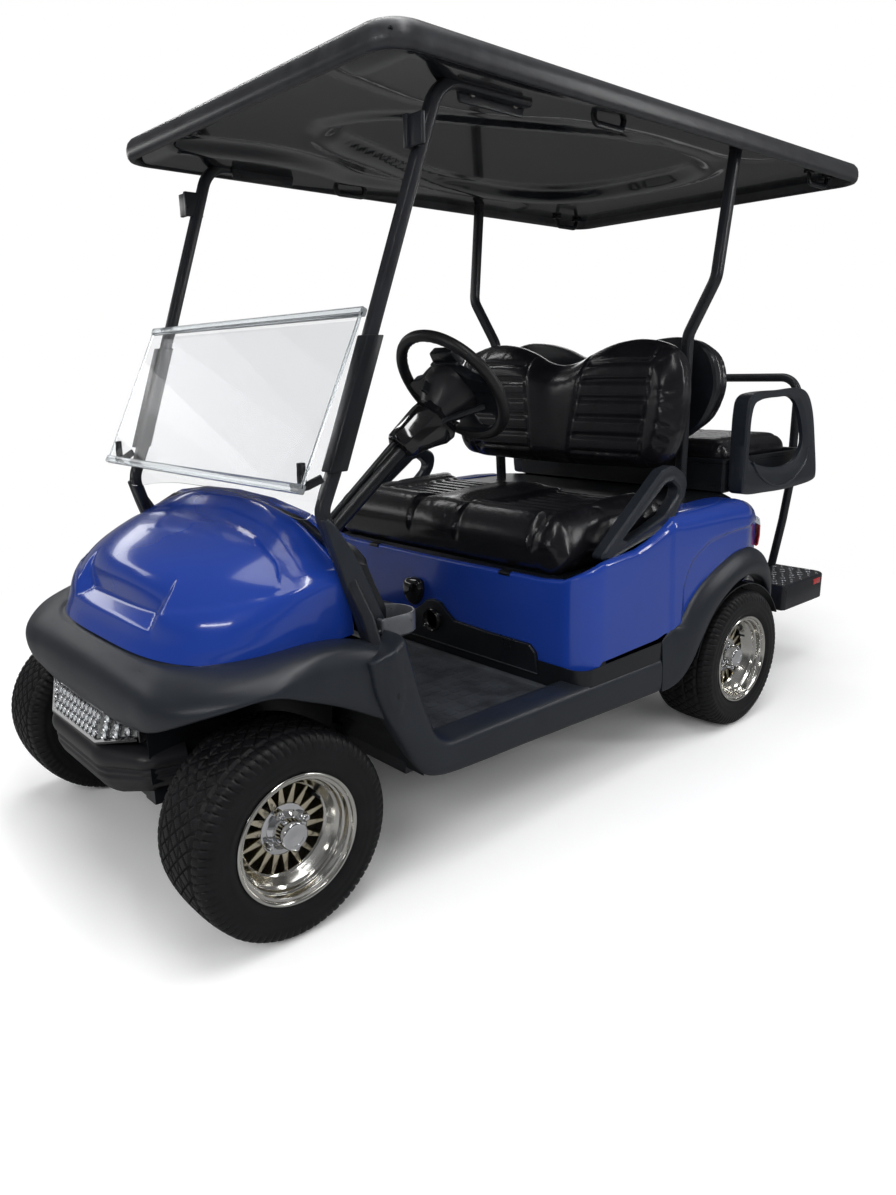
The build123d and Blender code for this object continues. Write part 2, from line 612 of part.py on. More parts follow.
def leaf_spring():
    """Left leaf spring, clamped under the axle tube and hung from the rail at both ends."""
    x0, x1 = LEAF_X - LEAF_W / 2, LEAF_X + LEAF_W / 2
    y0, y1 = WHEELBASE - LEAF_HALF, WHEELBASE + LEAF_HALF
    end_z, seat_z = RAIL_Z0 + 4, TYRE_R - AXLE_TUBE_R
    run = [(y0, end_z), (WHEELBASE, seat_z - LEAF_T), (y1, end_z), (y1, end_z + LEAF_T), (WHEELBASE, seat_z),
           (y0, end_z + LEAF_T)]
    spring = prism_x(run, x0, x1)
    for y in (y0, y1):
        spring += box(RAIL_X + RAIL_W / 2, x1, y - 20, y + 20, end_z + 4, end_z + 40)
    return spring - rod((x0 - 10, WHEELBASE, TYRE_R), (x1 + 10, WHEELBASE, TYRE_R), AXLE_TUBE_R + RUN_CLEAR)


# ---------------------------------------------------------------- seats
def seat_pan():
    """Lid under the front cushion, with the barrels of its two hinges along the front edge."""
    pan = box(-SEAT_HALF, SEAT_HALF, HINGE_Y + 12, SEAT_REAR, HINGE_Z, CUSHION_Z0)
    for x in HINGE_XS:
        pan += rod((x - 20, HINGE_Y, HINGE_Z), (x + 20, HINGE_Y, HINGE_Z), HINGE_R)
        pan += box(x - 20, x + 20, HINGE_Y, HINGE_Y + 14, HINGE_Z, HINGE_Z + HINGE_R)
        pan -= rod((x - 30, HINGE_Y, HINGE_Z), (x + 30, HINGE_Y, HINGE_Z), PIN_R + RUN_CLEAR)
    return pan


def seat_hinges():
    """Ears and pins that carry the lid on the body's front wall."""
    hinges = []
    for x in HINGE_XS:
        hinge = rod((x - 26, HINGE_Y, HINGE_Z), (x + 26, HINGE_Y, HINGE_Z), PIN_R)
        for low in (x - 26, x + 21):
            hinge += box(low, low + 5, HINGE_Y - 6, HINGE_Y + 6, LEDGE_Z - 14, HINGE_Z + 6)
        hinges.append(hinge)
    return hinges


def soft_box(x0, x1, y0, y1, z0, z1, radius):
    block = box(x0, x1, y0, y1, z0, z1)
    return fillet(block.edges(), radius)


def front_seat_cushion():
    return soft_box(-SEAT_HALF, SEAT_HALF, SEAT_FRONT, SEAT_REAR, CUSHION_Z0, CUSHION_Z1, 40)


# Backrest outlines, (x, height over the ledge) for the half going up from the foot.
FRONT_BACK = [(430, 267), (486, 332), (496, 492), (470, 592), (400, 644), (300, 659), (160, 644), (0, 590)]
REAR_BACK = [(400, 347), (455, 412), (470, 492), (445, 592), (380, 652), (290, 668), (150, 652), (0, 602)]
FRONT_BACK_Y = (STRUT_Y - 174, STRUT_Y - 62)
REAR_BACK_Y = (STRUT_Y + 58, STRUT_Y + 163)
BACK_BEAMS = (LEDGE_Z + 397, LEDGE_Z + 532)


def backrest(half_outline, y0, y1, radius):
    half = [(x, LEDGE_Z + up) for x, up in half_outline]
    outline = half + [(-x, z) for x, z in reversed(half[:-1])]
    pad = prism_y(outline, y0, y1)
    edges = pad.faces().sort_by(Axis.Y)[0].edges() + pad.faces().sort_by(Axis.Y)[-1].edges()
    return fillet(edges, radius)


def front_seat_back():
    return backrest(FRONT_BACK, *FRONT_BACK_Y, 30)


def rear_seat_back():
    return backrest(REAR_BACK, *REAR_BACK_Y, 30)


def seat_back_frame():
    """Cross beams between the struts, with the pads that carry both backrests."""
    low, high = BACK_BEAMS
    y0, y1, reach = STRUT_Y - 22, STRUT_Y + 8, STRUT_X - 6
    frame = box(-reach, reach, y0, y1, low, low + 30) + box(-reach, reach, y0, y1, high, high + 30)
    frame += box(-reach, reach, y0 + 8, y1 - 8, low + 30, high)
    for x in (-260, 260):
        frame += box(x - 40, x + 40, FRONT_BACK_Y[1] + SOFT_GAP, REAR_BACK_Y[0] - SOFT_GAP, low + 5, high + 25)
    return frame - rear_strut() - flip(rear_strut())


def hip_rail():
    """Left hand loop beside the seat, standing on the body's shoulder."""
    low, high = BODY_FRONT + 120, BODY_FRONT + 436
    foot = HIP_R + 0.8
    corners = [(HIP_X, low, shoulder_z(low) + foot), (HIP_X, BODY_FRONT + 442, LEDGE_Z + 274),
               (HIP_X, BODY_FRONT + 492, LEDGE_Z + 234), (HIP_X, high, shoulder_z(high) + foot)]
    return loop_tube(corners, HIP_R, 16)


# ---------------------------------------------------------------- rear seat kit
def rear_seat_base():
    tray = box(-BASE_HALF, BASE_HALF, KIT_FRONT, KIT_REAR, KIT_Z0, TRAY_FLOOR + 38)
    return tray - box(TRAY_T - BASE_HALF, BASE_HALF - TRAY_T, KIT_FRONT + TRAY_T, KIT_REAR - TRAY_T,
                      TRAY_FLOOR, TRAY_FLOOR + 50)


def rear_seat_cushion():
    half = BASE_HALF - TRAY_T - 8
    return soft_box(-half, half, KIT_FRONT + TRAY_T + 6, KIT_REAR - 58, TRAY_FLOOR, TRAY_FLOOR + 100, 30)


# Armrest outlines, (y from the rear axle, height over the tray's underside).
ARM_OUTER = [(133, 2), (260, -10), (468, -15), (681, 6), (645, 135), (598, 277), (561, 317), (509, 331),
             (296, 329), (206, 309), (158, 247), (133, 117)]
ARM_INNER = [(186, 107), (220, 95), (350, 89), (456, 98), (521, 137), (526, 217), (496, 277), (448, 299),
             (296, 297), (226, 281), (192, 227)]


def rear_arm():
    outer, inner = ([(y, KIT_Z0 + up) for y, up in aft(run)] for run in (ARM_OUTER, ARM_INNER))
    return prism_x(outer, BASE_HALF, BASE_HALF + ARM_T) - prism_x(inner, BASE_HALF - 1, BASE_HALF + ARM_T + 1)


def grab_bar():
    """Hoop standing at the rear edge of the foot plate."""
    side = [(51 - HOOP_HALF, HOOP_Y - 5, PLATE_Z1 - 20), (16 - HOOP_HALF, HOOP_Y - 5, PLATE_Z1 + 193),
            (-HOOP_HALF, HOOP_Y, PLATE_Z1 + 348), (-HOOP_HALF, HOOP_Y, HOOP_TOP)]
    points = side + [(-x, y, z) for x, y, z in reversed(side)]
    hoop = tube(points, HOOP_R, [120, 120, 70, 70, 120, 120])
    return hoop - box(-HOOP_HALF, HOOP_HALF, HOOP_Y - 60, HOOP_Y + 60, PLATE_Z1 - 60, PLATE_Z1)


def foot_plate():
    plan = box(-PLATE_HALF, PLATE_HALF, PLATE_FRONT, PLATE_REAR, PLATE_Z0, PLATE_Z1)
    rear_edges = plan.edges().filter_by(Axis.Z).group_by(Axis.Y)[-1]
    plate = fillet(rear_edges, 100)
    plate = fillet(plate.edges().filter_by(Axis.Z).group_by(Axis.Y)[0], 24)
    well = slab(PLATE_T - PLATE_HALF, PLATE_HALF - PLATE_T, PLATE_FRONT + PLATE_T, PLATE_REAR - PLATE_T,
                PLATE_Z0 - 10, PLATE_Z1 - PLATE_T, 80)
    return plate - well


def plate_frame():
    """Left arm from the rail to the foot plate, and the upright under the rear seat base."""
    x0, x1, rail_top = RAIL_X - 15, RAIL_X + 15, RAIL_Z0 + RAIL_H
    arm = box(x0, x1, PLATE_FRONT + PLATE_T, PLATE_REAR - PLATE_T - 4, rail_top, PLATE_Z1 - PLATE_T)
    link = box(x0, x1, RAIL_REAR - 160, PLATE_FRONT, rail_top, rail_top + 30)
    upright = box(x0, x1, RAIL_REAR - 190, RAIL_REAR - 160, rail_top, KIT_Z0)
    return arm, link, upright


def main():
    os.makedirs("parts", exist_ok=True)
    nodes = {}
    envelope = pillar(PILLAR_R + SEAT_CLEAR)
    both = envelope + flip(envelope)
    for name, x, y in (("front_left", FRONT_WHEEL_X, 0), ("front_right", -FRONT_WHEEL_X, 0),
                       ("rear_left", REAR_WHEEL_X, WHEELBASE), ("rear_right", -REAR_WHEEL_X, WHEELBASE)):
        nodes["tyre_" + name] = place_wheel(tyre(), x, y)
        nodes["rim_" + name] = place_wheel(rim(), x, y)
    nodes["knuckle_left"] = knuckle()
    nodes["knuckle_right"] = flip(knuckle())
    nodes["front_axle"] = front_axle()
    nodes["track_rod"] = track_rod()
    nodes["steering_column"] = steering_column()
    nodes["steering_wheel"] = steering_wheel()
    nodes["frame_rails"] = frame_rails()
    nodes["floor_pan"] = floor_pan() - both
    nodes["floor_mat"] = floor_mat()
    nodes["rockers"] = pair(rocker() - envelope)
    nodes["front_cowl"] = front_cowl() - both
    nodes["front_fascia"] = front_fascia() - both
    nodes["front_bumper"] = front_bumper()
    nodes["headlight_bar"] = headlight_bar() - front_fascia()
    nodes["dash_panel"] = dash_panel() - both - steering_column()
    nodes["front_struts"] = pair(pillar(PILLAR_R))
    nodes["screen_channels"] = pair(screen_channel() - envelope - windshield_lower())
    nodes["windshield_lower"] = windshield_lower() - both
    nodes["windshield_upper"] = windshield_upper()
    nodes["windshield_rails"] = windshield_rails() - both - windshield_lower()
    nodes["canopy"] = canopy()
    nodes["rear_struts"] = pair(rear_strut())
    nodes["rear_body"] = rear_body()
    nodes["rear_flares"] = pair(rear_flare())
    nodes["kick_panel"] = kick_panel()
    nodes["shift_knob"] = shift_knob()
    nodes["charge_port"] = charge_port()
    nodes["tail_lights"] = pair(tail_light())
    nodes["battery_pack"] = battery_pack()
    nodes["rear_axle"] = rear_axle()
    nodes["leaf_springs"] = pair(leaf_spring())
    nodes["seat_pan"] = seat_pan()
    nodes["front_seat_cushion"] = front_seat_cushion()
    nodes["front_seat_back"] = front_seat_back()
    nodes["rear_seat_back"] = rear_seat_back()
    nodes["seat_back_frame"] = seat_back_frame()
    nodes["hip_rails"] = pair(hip_rail())
    nodes["rear_seat_base"] = rear_seat_base()
    nodes["rear_seat_cushion"] = rear_seat_cushion()
    nodes["rear_arms"] = pair(rear_arm())
    nodes["grab_bar"] = grab_bar()
    nodes["foot_plate"] = foot_plate()
    arm, link, upright = plate_frame()
    side = arm + link + upright
    nodes["plate_frame"] = pair(side)
    for name, part in nodes.items():
        export_step(Pos(0, -MID_Y, 0) * part, "parts/" + name + ".step")


main()
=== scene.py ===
"""Golf cart: the looks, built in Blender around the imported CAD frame.

Shapes are given in millimetres on the cart's own stations: x to the vehicle's left, y rearward from the front
axle, z up from the floor. at() turns such a point into the frame's metres.
"""
import json
from math import acos, cos, pi, radians, sin, tan

import bmesh
import bpy
import numpy as np
from mathutils import Matrix, Vector
from mathutils.geometry import tessellate_polygon


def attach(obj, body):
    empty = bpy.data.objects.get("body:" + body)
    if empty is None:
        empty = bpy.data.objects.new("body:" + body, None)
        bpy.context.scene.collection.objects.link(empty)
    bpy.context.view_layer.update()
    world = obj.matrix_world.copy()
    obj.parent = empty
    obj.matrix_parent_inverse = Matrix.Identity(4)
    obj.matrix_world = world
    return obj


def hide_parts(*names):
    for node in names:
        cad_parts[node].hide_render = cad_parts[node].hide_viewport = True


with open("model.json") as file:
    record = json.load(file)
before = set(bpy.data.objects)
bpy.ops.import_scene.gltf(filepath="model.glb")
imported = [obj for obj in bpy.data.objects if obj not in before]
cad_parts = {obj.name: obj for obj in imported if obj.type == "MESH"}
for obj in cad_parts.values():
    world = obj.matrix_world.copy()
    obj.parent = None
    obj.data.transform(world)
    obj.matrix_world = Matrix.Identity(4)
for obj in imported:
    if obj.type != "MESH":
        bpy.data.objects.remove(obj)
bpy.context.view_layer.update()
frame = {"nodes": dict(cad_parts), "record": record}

# ---------------------------------------------------------------- stations, mm
MID_Y = 1152.5
WHEELBASE = 1664
TYRE_R = 229.5
FRONT_WHEEL_X = 477
REAR_WHEEL_X = 526


def at(x, y, z):
    return Vector((x / 1000, (y - MID_Y) / 1000, z / 1000))


def new_object(name, data):
    obj = bpy.data.objects.new(name, data)
    bpy.context.scene.collection.objects.link(obj)
    return obj


def mesh_object(name, verts, faces):
    """Object with a mesh given in stations."""
    mesh = bpy.data.meshes.new(name)
    mesh.from_pydata([at(*v) for v in verts], [], faces)
    return new_object(name, mesh)


# ---------------------------------------------------------------- curves and surfaces
def arc_corners(points, radii, steps=6, closed=True):
    """Points of a polygon or polyline whose corners are rounded with tangent arcs."""
    pts = [np.array(p, float) for p in points]
    count = len(pts)
    radii = [radii] * count if np.isscalar(radii) else list(radii)
    out = []
    for i, p in enumerate(pts):
        if not closed and i in (0, count - 1):
            out.append(p)
            continue
        a, b = pts[i - 1] - p, pts[(i + 1) % count] - p
        la, lb = np.linalg.norm(a), np.linalg.norm(b)
        a, b = a / la, b / lb
        half = acos(max(-1, min(1, float(a @ b)))) / 2
        if radii[i] <= 0 or half > pi / 2 - 0.01:
            out.append(p)
            continue
        cut = min(radii[i] / tan(half), 0.49 * la, 0.49 * lb)
        radius = cut * tan(half)
        centre = p + (a + b) / np.linalg.norm(a + b) * radius / sin(half)
        start, end = p + a * cut - centre, p + b * cut - centre
        turn = pi - 2 * half
        for k in range(steps + 1):
            t = k / steps
            out.append(centre + (sin((1 - t) * turn) * start + sin(t * turn) * end) / sin(turn))
    return out


def flow(points, steps, closed=False):
    """Smooth curve through the points, with that many steps between each two."""
    pts = np.array(points, float)
    count = len(pts)
    if closed:
        ring = np.vstack([pts[-1], pts, pts[0], pts[1]])
    else:
        ring = np.vstack([2 * pts[0] - pts[1], pts, 2 * pts[-1] - pts[-2]])
    out = []
    for i in range(count if closed else count - 1):
        p0, p1, p2, p3 = ring[i:i + 4]
        t1 = max(np.linalg.norm(p1 - p0), 1e-6) ** 0.5
        t2 = t1 + max(np.linalg.norm(p2 - p1), 1e-6) ** 0.5
        t3 = t2 + max(np.linalg.norm(p3 - p2), 1e-6) ** 0.5
        for k in range(steps):
            t = t1 + (t2 - t1) * k / steps
            a1 = (t1 - t) / t1 * p0 + t / t1 * p1
            a2 = (t2 - t) / (t2 - t1) * p1 + (t - t1) / (t2 - t1) * p2
            a3 = (t3 - t) / (t3 - t2) * p2 + (t - t2) / (t3 - t2) * p3
            b1 = (t2 - t) / t2 * a1 + t / t2 * a2
            b2 = (t3 - t) / (t3 - t1) * a2 + (t - t1) / (t3 - t1) * a3
            out.append((t2 - t) / (t2 - t1) * b1 + (t - t1) / (t2 - t1) * b2)
    if not closed:
        out.append(pts[-1])
    return out


def quilt(rows, across, along):
    """Smooth surface through rows of points: finer within each row, then from row to row."""
    fine = [flow(row, across) for row in rows]
    columns = [flow(column, along) for column in zip(*fine)]
    return [list(row) for row in zip(*columns)]


def loft(rows, wrap=False, join=False, caps=False):
    """Quads between rows of points. wrap closes each row, join ties the last row to the first."""
    verts = [tuple(p) for row in rows for p in row]
    width, faces = len(rows[0]), []
    for i in range(len(rows) if join else len(rows) - 1):
        for j in range(width if wrap else width - 1):
            a, b = i * width, (i + 1) % len(rows) * width
            k = (j + 1) % width
            faces.append((a + j, a + k, b + k, b + j))
    if caps:
        faces.append(tuple(range(width))[::-1])
        faces.append(tuple(range(len(verts) - width, len(verts))))
    return verts, faces


def solid(rows):
    """Closed body through closed rows of points."""
    return loft(rows, wrap=True, caps=True)


def merge(*shapes):
    verts, faces = [], []
    for part_verts, part_faces in shapes:
        base = len(verts)
        verts += [tuple(v) for v in part_verts]
        faces += [tuple(base + i for i in face) for face in part_faces]
    return verts, faces


def flipped(shape):
    verts, faces = shape
    return [(-v[0], v[1], v[2]) for v in verts], [tuple(reversed(face)) for face in faces]


def both(shape):
    return merge(shape, flipped(shape))


def moved(shape, turn=None, by=(0, 0, 0)):
    """The shape turned by a 3x3 matrix and then shifted."""
    verts = np.array(shape[0], float)
    if turn is not None:
        verts = verts @ np.array(turn).T
    return [tuple(v) for v in verts + np.array(by, float)], shape[1]


def prism(axis, outline, low, high):
    """Closed outline across an axis, between two stations on it; the outline gives the other two in order."""
    slots = {"x": (1, 2), "y": (0, 2), "z": (0, 1)}[axis]
    own = "xyz".index(axis)
    rows = []
    for station in (low, high):
        row = []
        for point in outline:
            full = [0, 0, 0]
            full[own], full[slots[0]], full[slots[1]] = station, point[0], point[1]
            row.append(full)
        rows.append(row)
    return solid(rows)


def block(x0, x1, y0, y1, z0, z1):
    return prism("z", [(x0, y0), (x1, y0), (x1, y1), (x0, y1)], z0, z1)


def sweep(path, section, up=(0, 0, 1), closed=False, scales=None):
    """Section of (side, up) points carried along a path with its frame turned as little as possible."""
    path = [np.array(p, float) for p in path]
    count, rows, up = len(path), [], np.array(up, float)
    for i, p in enumerate(path):
        if closed:
            tangent = path[(i + 1) % count] - path[i - 1]
        else:
            tangent = path[min(i + 1, count - 1)] - path[max(i - 1, 0)]
        tangent /= np.linalg.norm(tangent)
        up = up - tangent * (up @ tangent)
        up /= np.linalg.norm(up)
        side = np.cross(tangent, up)
        scale = 1 if scales is None else scales[i]
        rows.append([p + side * s * scale + up * t * scale for s, t in section])
    return loft(rows, wrap=True, join=closed, caps=not closed)


def round_section(radius, sides=16):
    return [(radius * cos(2 * pi * k / sides), radius * sin(2 * pi * k / sides)) for k in range(sides)]


def rounded(x0, x1, y0, y1, radii, steps):
    """Rectangle with rounded corners, from its first corner round."""
    return arc_corners([(x0, y0), (x1, y0), (x1, y1), (x0, y1)], radii, steps)


def stacked(plan, centre, half, levels, lid=False):
    """Body whose outline shrinks about its centre: each level is (inset, z). lid closes only the top."""
    centre, half = np.array(centre), np.array(half)
    rows = []
    for inset, z in levels:
        scale = 1 - inset / half
        rows.append([(*(centre + (np.array(p) - centre) * scale), z) for p in plan])
    if not lid:
        return solid(rows)
    verts, faces = loft(rows, wrap=True)
    return verts, faces + [tuple(range(len(verts) - len(plan), len(verts)))]


def square_section(width, height, corner, steps=3):
    return [tuple(p) for p in rounded(-width / 2, width / 2, -height / 2, height / 2, corner, steps)]


def lathe(profile, sides=96, closed=False):
    """(x, r) profile turned about the X axis."""
    rows = []
    for k in range(sides):
        angle = 2 * pi * k / sides
        rows.append([(x, r * cos(angle), r * sin(angle)) for x, r in profile])
    return loft(rows, wrap=closed, join=True)


# ---------------------------------------------------------------- finishes
FINISHES = {}


def node(tree, kind, **inputs):
    """Shader node; each input is a value or another node's socket. v0, v1 ... name inputs by place."""
    made = tree.nodes.new("ShaderNode" + kind)
    for name, value in inputs.items():
        socket = made.inputs[int(name[1:]) if name[1:].isdigit() else name.replace("_", " ")]
        if isinstance(value, bpy.types.NodeSocket):
            tree.links.new(value, socket)
        else:
            socket.default_value = value
    return made


def finish(name, slot, colour, rough, metal=0.0, coat=0.0, shade=0.15, patch=9.0, grain=(), rough_span=0.08,
           ior=1.5, clear=0.0, glow=None):
    """Procedural material. shade and patch vary the colour; grain: (pattern, scale per metre, bump mm)."""
    material = bpy.data.materials.new(name)
    material.use_nodes = True
    tree = material.node_tree
    shader = tree.nodes["Principled BSDF"]
    settings = {"Metallic": metal, "Coat Weight": coat, "Coat Roughness": 0.04, "IOR": ior,
                "Transmission Weight": clear}
    if glow:
        settings.update({"Emission Color": (*glow[0], 1), "Emission Strength": glow[1]})
    for socket, value in settings.items():
        shader.inputs[socket].default_value = value
    place = node(tree, "TexCoord").outputs["Object"]
    cloud = node(tree, "TexNoise", Vector=place, Scale=patch, Detail=5.0, Roughness=0.6).outputs["Fac"]
    tint = node(tree, "ValToRGB", Fac=cloud)
    for stop, position, factor in zip(tint.color_ramp.elements, (0.3, 0.7), (1 - shade, 1 + shade)):
        stop.position, stop.color = position, (*[min(1, c * factor) for c in colour], 1)
    spread = node(tree, "MapRange", Value=cloud, To_Min=max(0.02, rough - rough_span),
                  To_Max=rough + rough_span)
    tree.links.new(tint.outputs["Color"], shader.inputs["Base Color"])
    tree.links.new(spread.outputs["Result"], shader.inputs["Roughness"])
    normal = shader.inputs["Normal"]
    for pattern, scale, height in reversed(grain):
        if pattern == "cells":
            texture = node(tree, "TexVoronoi", Vector=place, Scale=float(scale))
            texture.feature = "DISTANCE_TO_EDGE"
        else:
            texture = node(tree, "TexNoise", Vector=place, Scale=float(scale), Detail=3.0)
        bump = node(tree, "Bump", Strength=1.0, Distance=height / 1000,
                    Height=texture.outputs["Distance" if pattern == "cells" else "Fac"])
        tree.links.new(bump.outputs["Normal"], normal)
        normal = bump.inputs["Normal"]
    FINISHES[name] = (material, slot)


def make_finishes():
    finish("blue_paint", "cowl_blue", (0.011, 0.043, 0.29), 0.16, coat=0.5, shade=0.05, patch=3,
           grain=[("noise", 55, 0.02)], rough_span=0.03)
    finish("moulded_grey", "grey_plastic", (0.0125, 0.0155, 0.021), 0.36, shade=0.12, patch=14,
           grain=[("noise", 1400, 0.10), ("noise", 420, 0.06)], rough_span=0.06)
    finish("bumper_black", "black_plastic", (0.012, 0.012, 0.014), 0.36, shade=0.2,
           grain=[("noise", 900, 0.05)])
    finish("trim_black", "black_plastic", (0.006, 0.007, 0.009), 0.3, shade=0.25,
           grain=[("noise", 700, 0.03)])
    finish("powder_black", "black_steel", (0.012, 0.013, 0.016), 0.3, shade=0.2, patch=20,
           grain=[("noise", 800, 0.04)])
    finish("roof_rim", "roof_black", (0.026, 0.027, 0.030), 0.34, shade=0.3, patch=30,
           grain=[("noise", 500, 0.10)])
    finish("gloss_black", "black_plastic", (0.006, 0.006, 0.007), 0.08, coat=0.5, shade=0.2)
    finish("grip_rubber", "black_plastic", (0.010, 0.010, 0.011), 0.42, shade=0.2,
           grain=[("cells", 700, 0.05)])
    finish("tray_grey", "black_plastic", (0.09, 0.095, 0.105), 0.30, metal=0.25, shade=0.12, patch=40,
           grain=[("noise", 900, 0.03)])
    finish("tread_metal", "black_steel", (0.30, 0.31, 0.33), 0.30, metal=0.9, shade=0.3, patch=40)
    finish("acrylic_edge", "glass", (0.80, 0.84, 0.86), 0.08, shade=0.03, clear=0.85, ior=1.35,
           rough_span=0.02)
    finish("ceiling", "roof_black", (0.008, 0.009, 0.011), 0.16, coat=0.6, shade=0.2, patch=6,
           grain=[("noise", 60, 0.1)])
    finish("black_vinyl", "vinyl", (0.007, 0.007, 0.009), 0.24, shade=0.25, patch=12,
           grain=[("cells", 520, 0.06), ("noise", 30, 0.5)], rough_span=0.07)
    finish("tyre_rubber", "tyre", (0.006, 0.006, 0.007), 0.46, shade=0.35, patch=25,
           grain=[("noise", 900, 0.08)], rough_span=0.14, ior=1.38)
    finish("polished", "rim", (0.74, 0.73, 0.69), 0.15, metal=1.0, shade=0.06, patch=16, rough_span=0.04)
    finish("champagne", "rim", (0.80, 0.73, 0.56), 0.22, metal=1.0, shade=0.15, patch=30,
           grain=[("noise", 500, 0.03)])
    finish("chrome", "rim", (0.85, 0.86, 0.88), 0.05, metal=1.0, shade=0.04, patch=20)
    # Near-black steel of the disc behind the spokes: its colour is painted shade in the spoke windows.
    finish("spoke_window_shade", "steel", (0.02, 0.018, 0.014), 0.6, metal=0.4, shade=0.3)
    finish("bare_steel", "steel", (0.30, 0.29, 0.27), 0.42, metal=0.9, shade=0.25, patch=18,
           grain=[("noise", 300, 0.08)], rough_span=0.14)
    finish("acrylic", "glass", (0.87, 0.875, 0.885), 0.02, shade=0.005, clear=1.0, ior=1.08, rough_span=0.0)
    finish("mat_rubber", "mat_rubber", (0.032, 0.036, 0.042), 0.62, shade=0.55, patch=13,
           grain=[("noise", 260, 0.6)], rough_span=0.1)
    finish("lamp_clear", "lamp", (0.86, 0.89, 0.90), 0.06, shade=0.1, patch=60, clear=0.6, ior=1.45,
           glow=((0.9, 0.95, 1.0), 0.04), rough_span=0.03)
    finish("lamp_back", "lamp", (0.35, 0.36, 0.36), 0.2, metal=0.8, shade=0.5, patch=90)
    finish("red_lens", "red_lens", (0.42, 0.012, 0.014), 0.12, coat=0.5, shade=0.25, patch=60)
    finish("battery_case", "battery", (0.05, 0.05, 0.05), 0.6, shade=0.25, grain=[("noise", 300, 0.1)])


SLOT_FINISH = {"cowl_blue": "blue_paint", "grey_plastic": "moulded_grey", "black_plastic": "trim_black",
               "black_steel": "powder_black", "roof_black": "roof_rim", "vinyl": "black_vinyl",
               "tyre": "tyre_rubber", "rim": "polished", "steel": "bare_steel", "glass": "acrylic",
               "mat_rubber": "mat_rubber", "lamp": "lamp_clear", "red_lens": "red_lens",
               "battery": "battery_case"}


def dress_cad_nodes():
    """Every CAD node that still shows gets the procedural finish of its material slot."""
    for part in frame["record"]["subparts"]:
        obj = frame["nodes"][part["node"]]
        obj.data.materials.clear()
        obj.data.materials.append(FINISHES[SLOT_FINISH[part["material_slot"]]][0])


# ---------------------------------------------------------------- pieces
def add(name, shape, look, body="chassis", stands_for=(), wall=0, bevel=0, segments=3, crease=38):
    """Mesh piece on a body. wall thickens inward, bevel rounds its sharp edges."""
    obj = mesh_object(name, *shape)
    work = bmesh.new()
    work.from_mesh(obj.data)
    bmesh.ops.remove_doubles(work, verts=work.verts, dist=1e-6)
    bmesh.ops.recalc_face_normals(work, faces=work.faces)
    if wall:
        middle = sum((v.co for v in work.verts), Vector()) / len(work.verts)
        last = max(work.faces, key=lambda face: (face.calc_center_median() - middle).length)
        if last.normal.dot(last.calc_center_median() - middle) < 0:
            bmesh.ops.reverse_faces(work, faces=work.faces)
    work.to_mesh(obj.data)
    work.free()
    if wall:
        thick = obj.modifiers.new("wall", "SOLIDIFY")
        thick.thickness, thick.offset, thick.use_even_offset = abs(wall) / 1000, -1 if wall > 0 else 1, True
    if bevel:
        edge = obj.modifiers.new("edge", "BEVEL")
        edge.width, edge.segments, edge.limit_method = bevel / 1000, segments, "ANGLE"
        edge.angle_limit = radians(crease)
    if obj.modifiers:
        settle(obj)
    obj.data.shade_smooth()
    obj.data.set_sharp_from_angle(angle=radians(crease))
    material, slot = FINISHES[look]
    obj.data.materials.clear()
    obj.data.materials.append(material)
    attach(obj, body)
    if stands_for:
        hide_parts(*stands_for)
    return obj


def settle(obj):
    """Bake an object's modifiers into its mesh."""
    shown = obj.evaluated_get(bpy.context.evaluated_depsgraph_get())
    mesh = bpy.data.meshes.new_from_object(shown)
    obj.modifiers.clear()
    obj.data = mesh


def mirrored_rows(rows):
    """Rows whose first one lies on x=0, continued to the other side."""
    other_side = [[(-x, y, z) for x, y, z in row] for row in rows[:0:-1]]
    return other_side + [[tuple(p) for p in row] for row in rows]


def ramp(value, low, high):
    t = np.clip((np.asarray(value, float) - low) / (high - low), 0, 1)
    return t * t * (3 - 2 * t)


def even(points, count):
    """The same curve as that many points at equal spacing."""
    pts = np.array(points, float)
    run = np.concatenate([[0], np.cumsum(np.linalg.norm(np.diff(pts, axis=0), axis=1))])
    where = np.linspace(0, run[-1], count)
    return np.stack([np.interp(where, run, pts[:, k]) for k in range(pts.shape[1])], axis=1)


def outline_distance(points, outline):
    """Distance of 2-D points from a closed outline."""
    pts, ring = np.array(points, float), np.array(outline, float)
    best = np.full(len(pts), 1e9)
    for a, b in zip(ring, np.roll(ring, -1, axis=0)):
        edge = b - a
        t = np.clip((pts - a) @ edge / max(edge @ edge, 1e-9), 0, 1)
        best = np.minimum(best, np.linalg.norm(pts - a - t[:, None] * edge, axis=1))
    return best


def inside(points, outline):
    pts, ring = np.array(points, float), np.array(outline, float)
    hit = np.zeros(len(pts), bool)
    for a, b in zip(ring, np.roll(ring, -1, axis=0)):
        cross = (a[1] > pts[:, 1]) != (b[1] > pts[:, 1])
        rise = b[1] - a[1] if abs(b[1] - a[1]) > 1e-9 else 1e-9
        hit ^= cross & (pts[:, 0] < (b[0] - a[0]) * (pts[:, 1] - a[1]) / rise + a[0])
    return hit


def depth_in(points, outline):
    """How far points lie within a closed outline; negative outside it."""
    return outline_distance(points, outline) * np.where(inside(points, outline), 1, -1)


# ---------------------------------------------------------------- roof
ROOF_HALF, ROOF_FRONT, ROOF_REAR = 606, 269, 2275
ROOF_BAND = [(110, 1788), (60, 1786), (30, 1783), (14, 1777), (5, 1767), (1, 1755), (0, 1742), (2, 1732),
             (7, 1725), (14, 1723), (20, 1726), (23, 1733), (25, 1745), (30, 1760)]
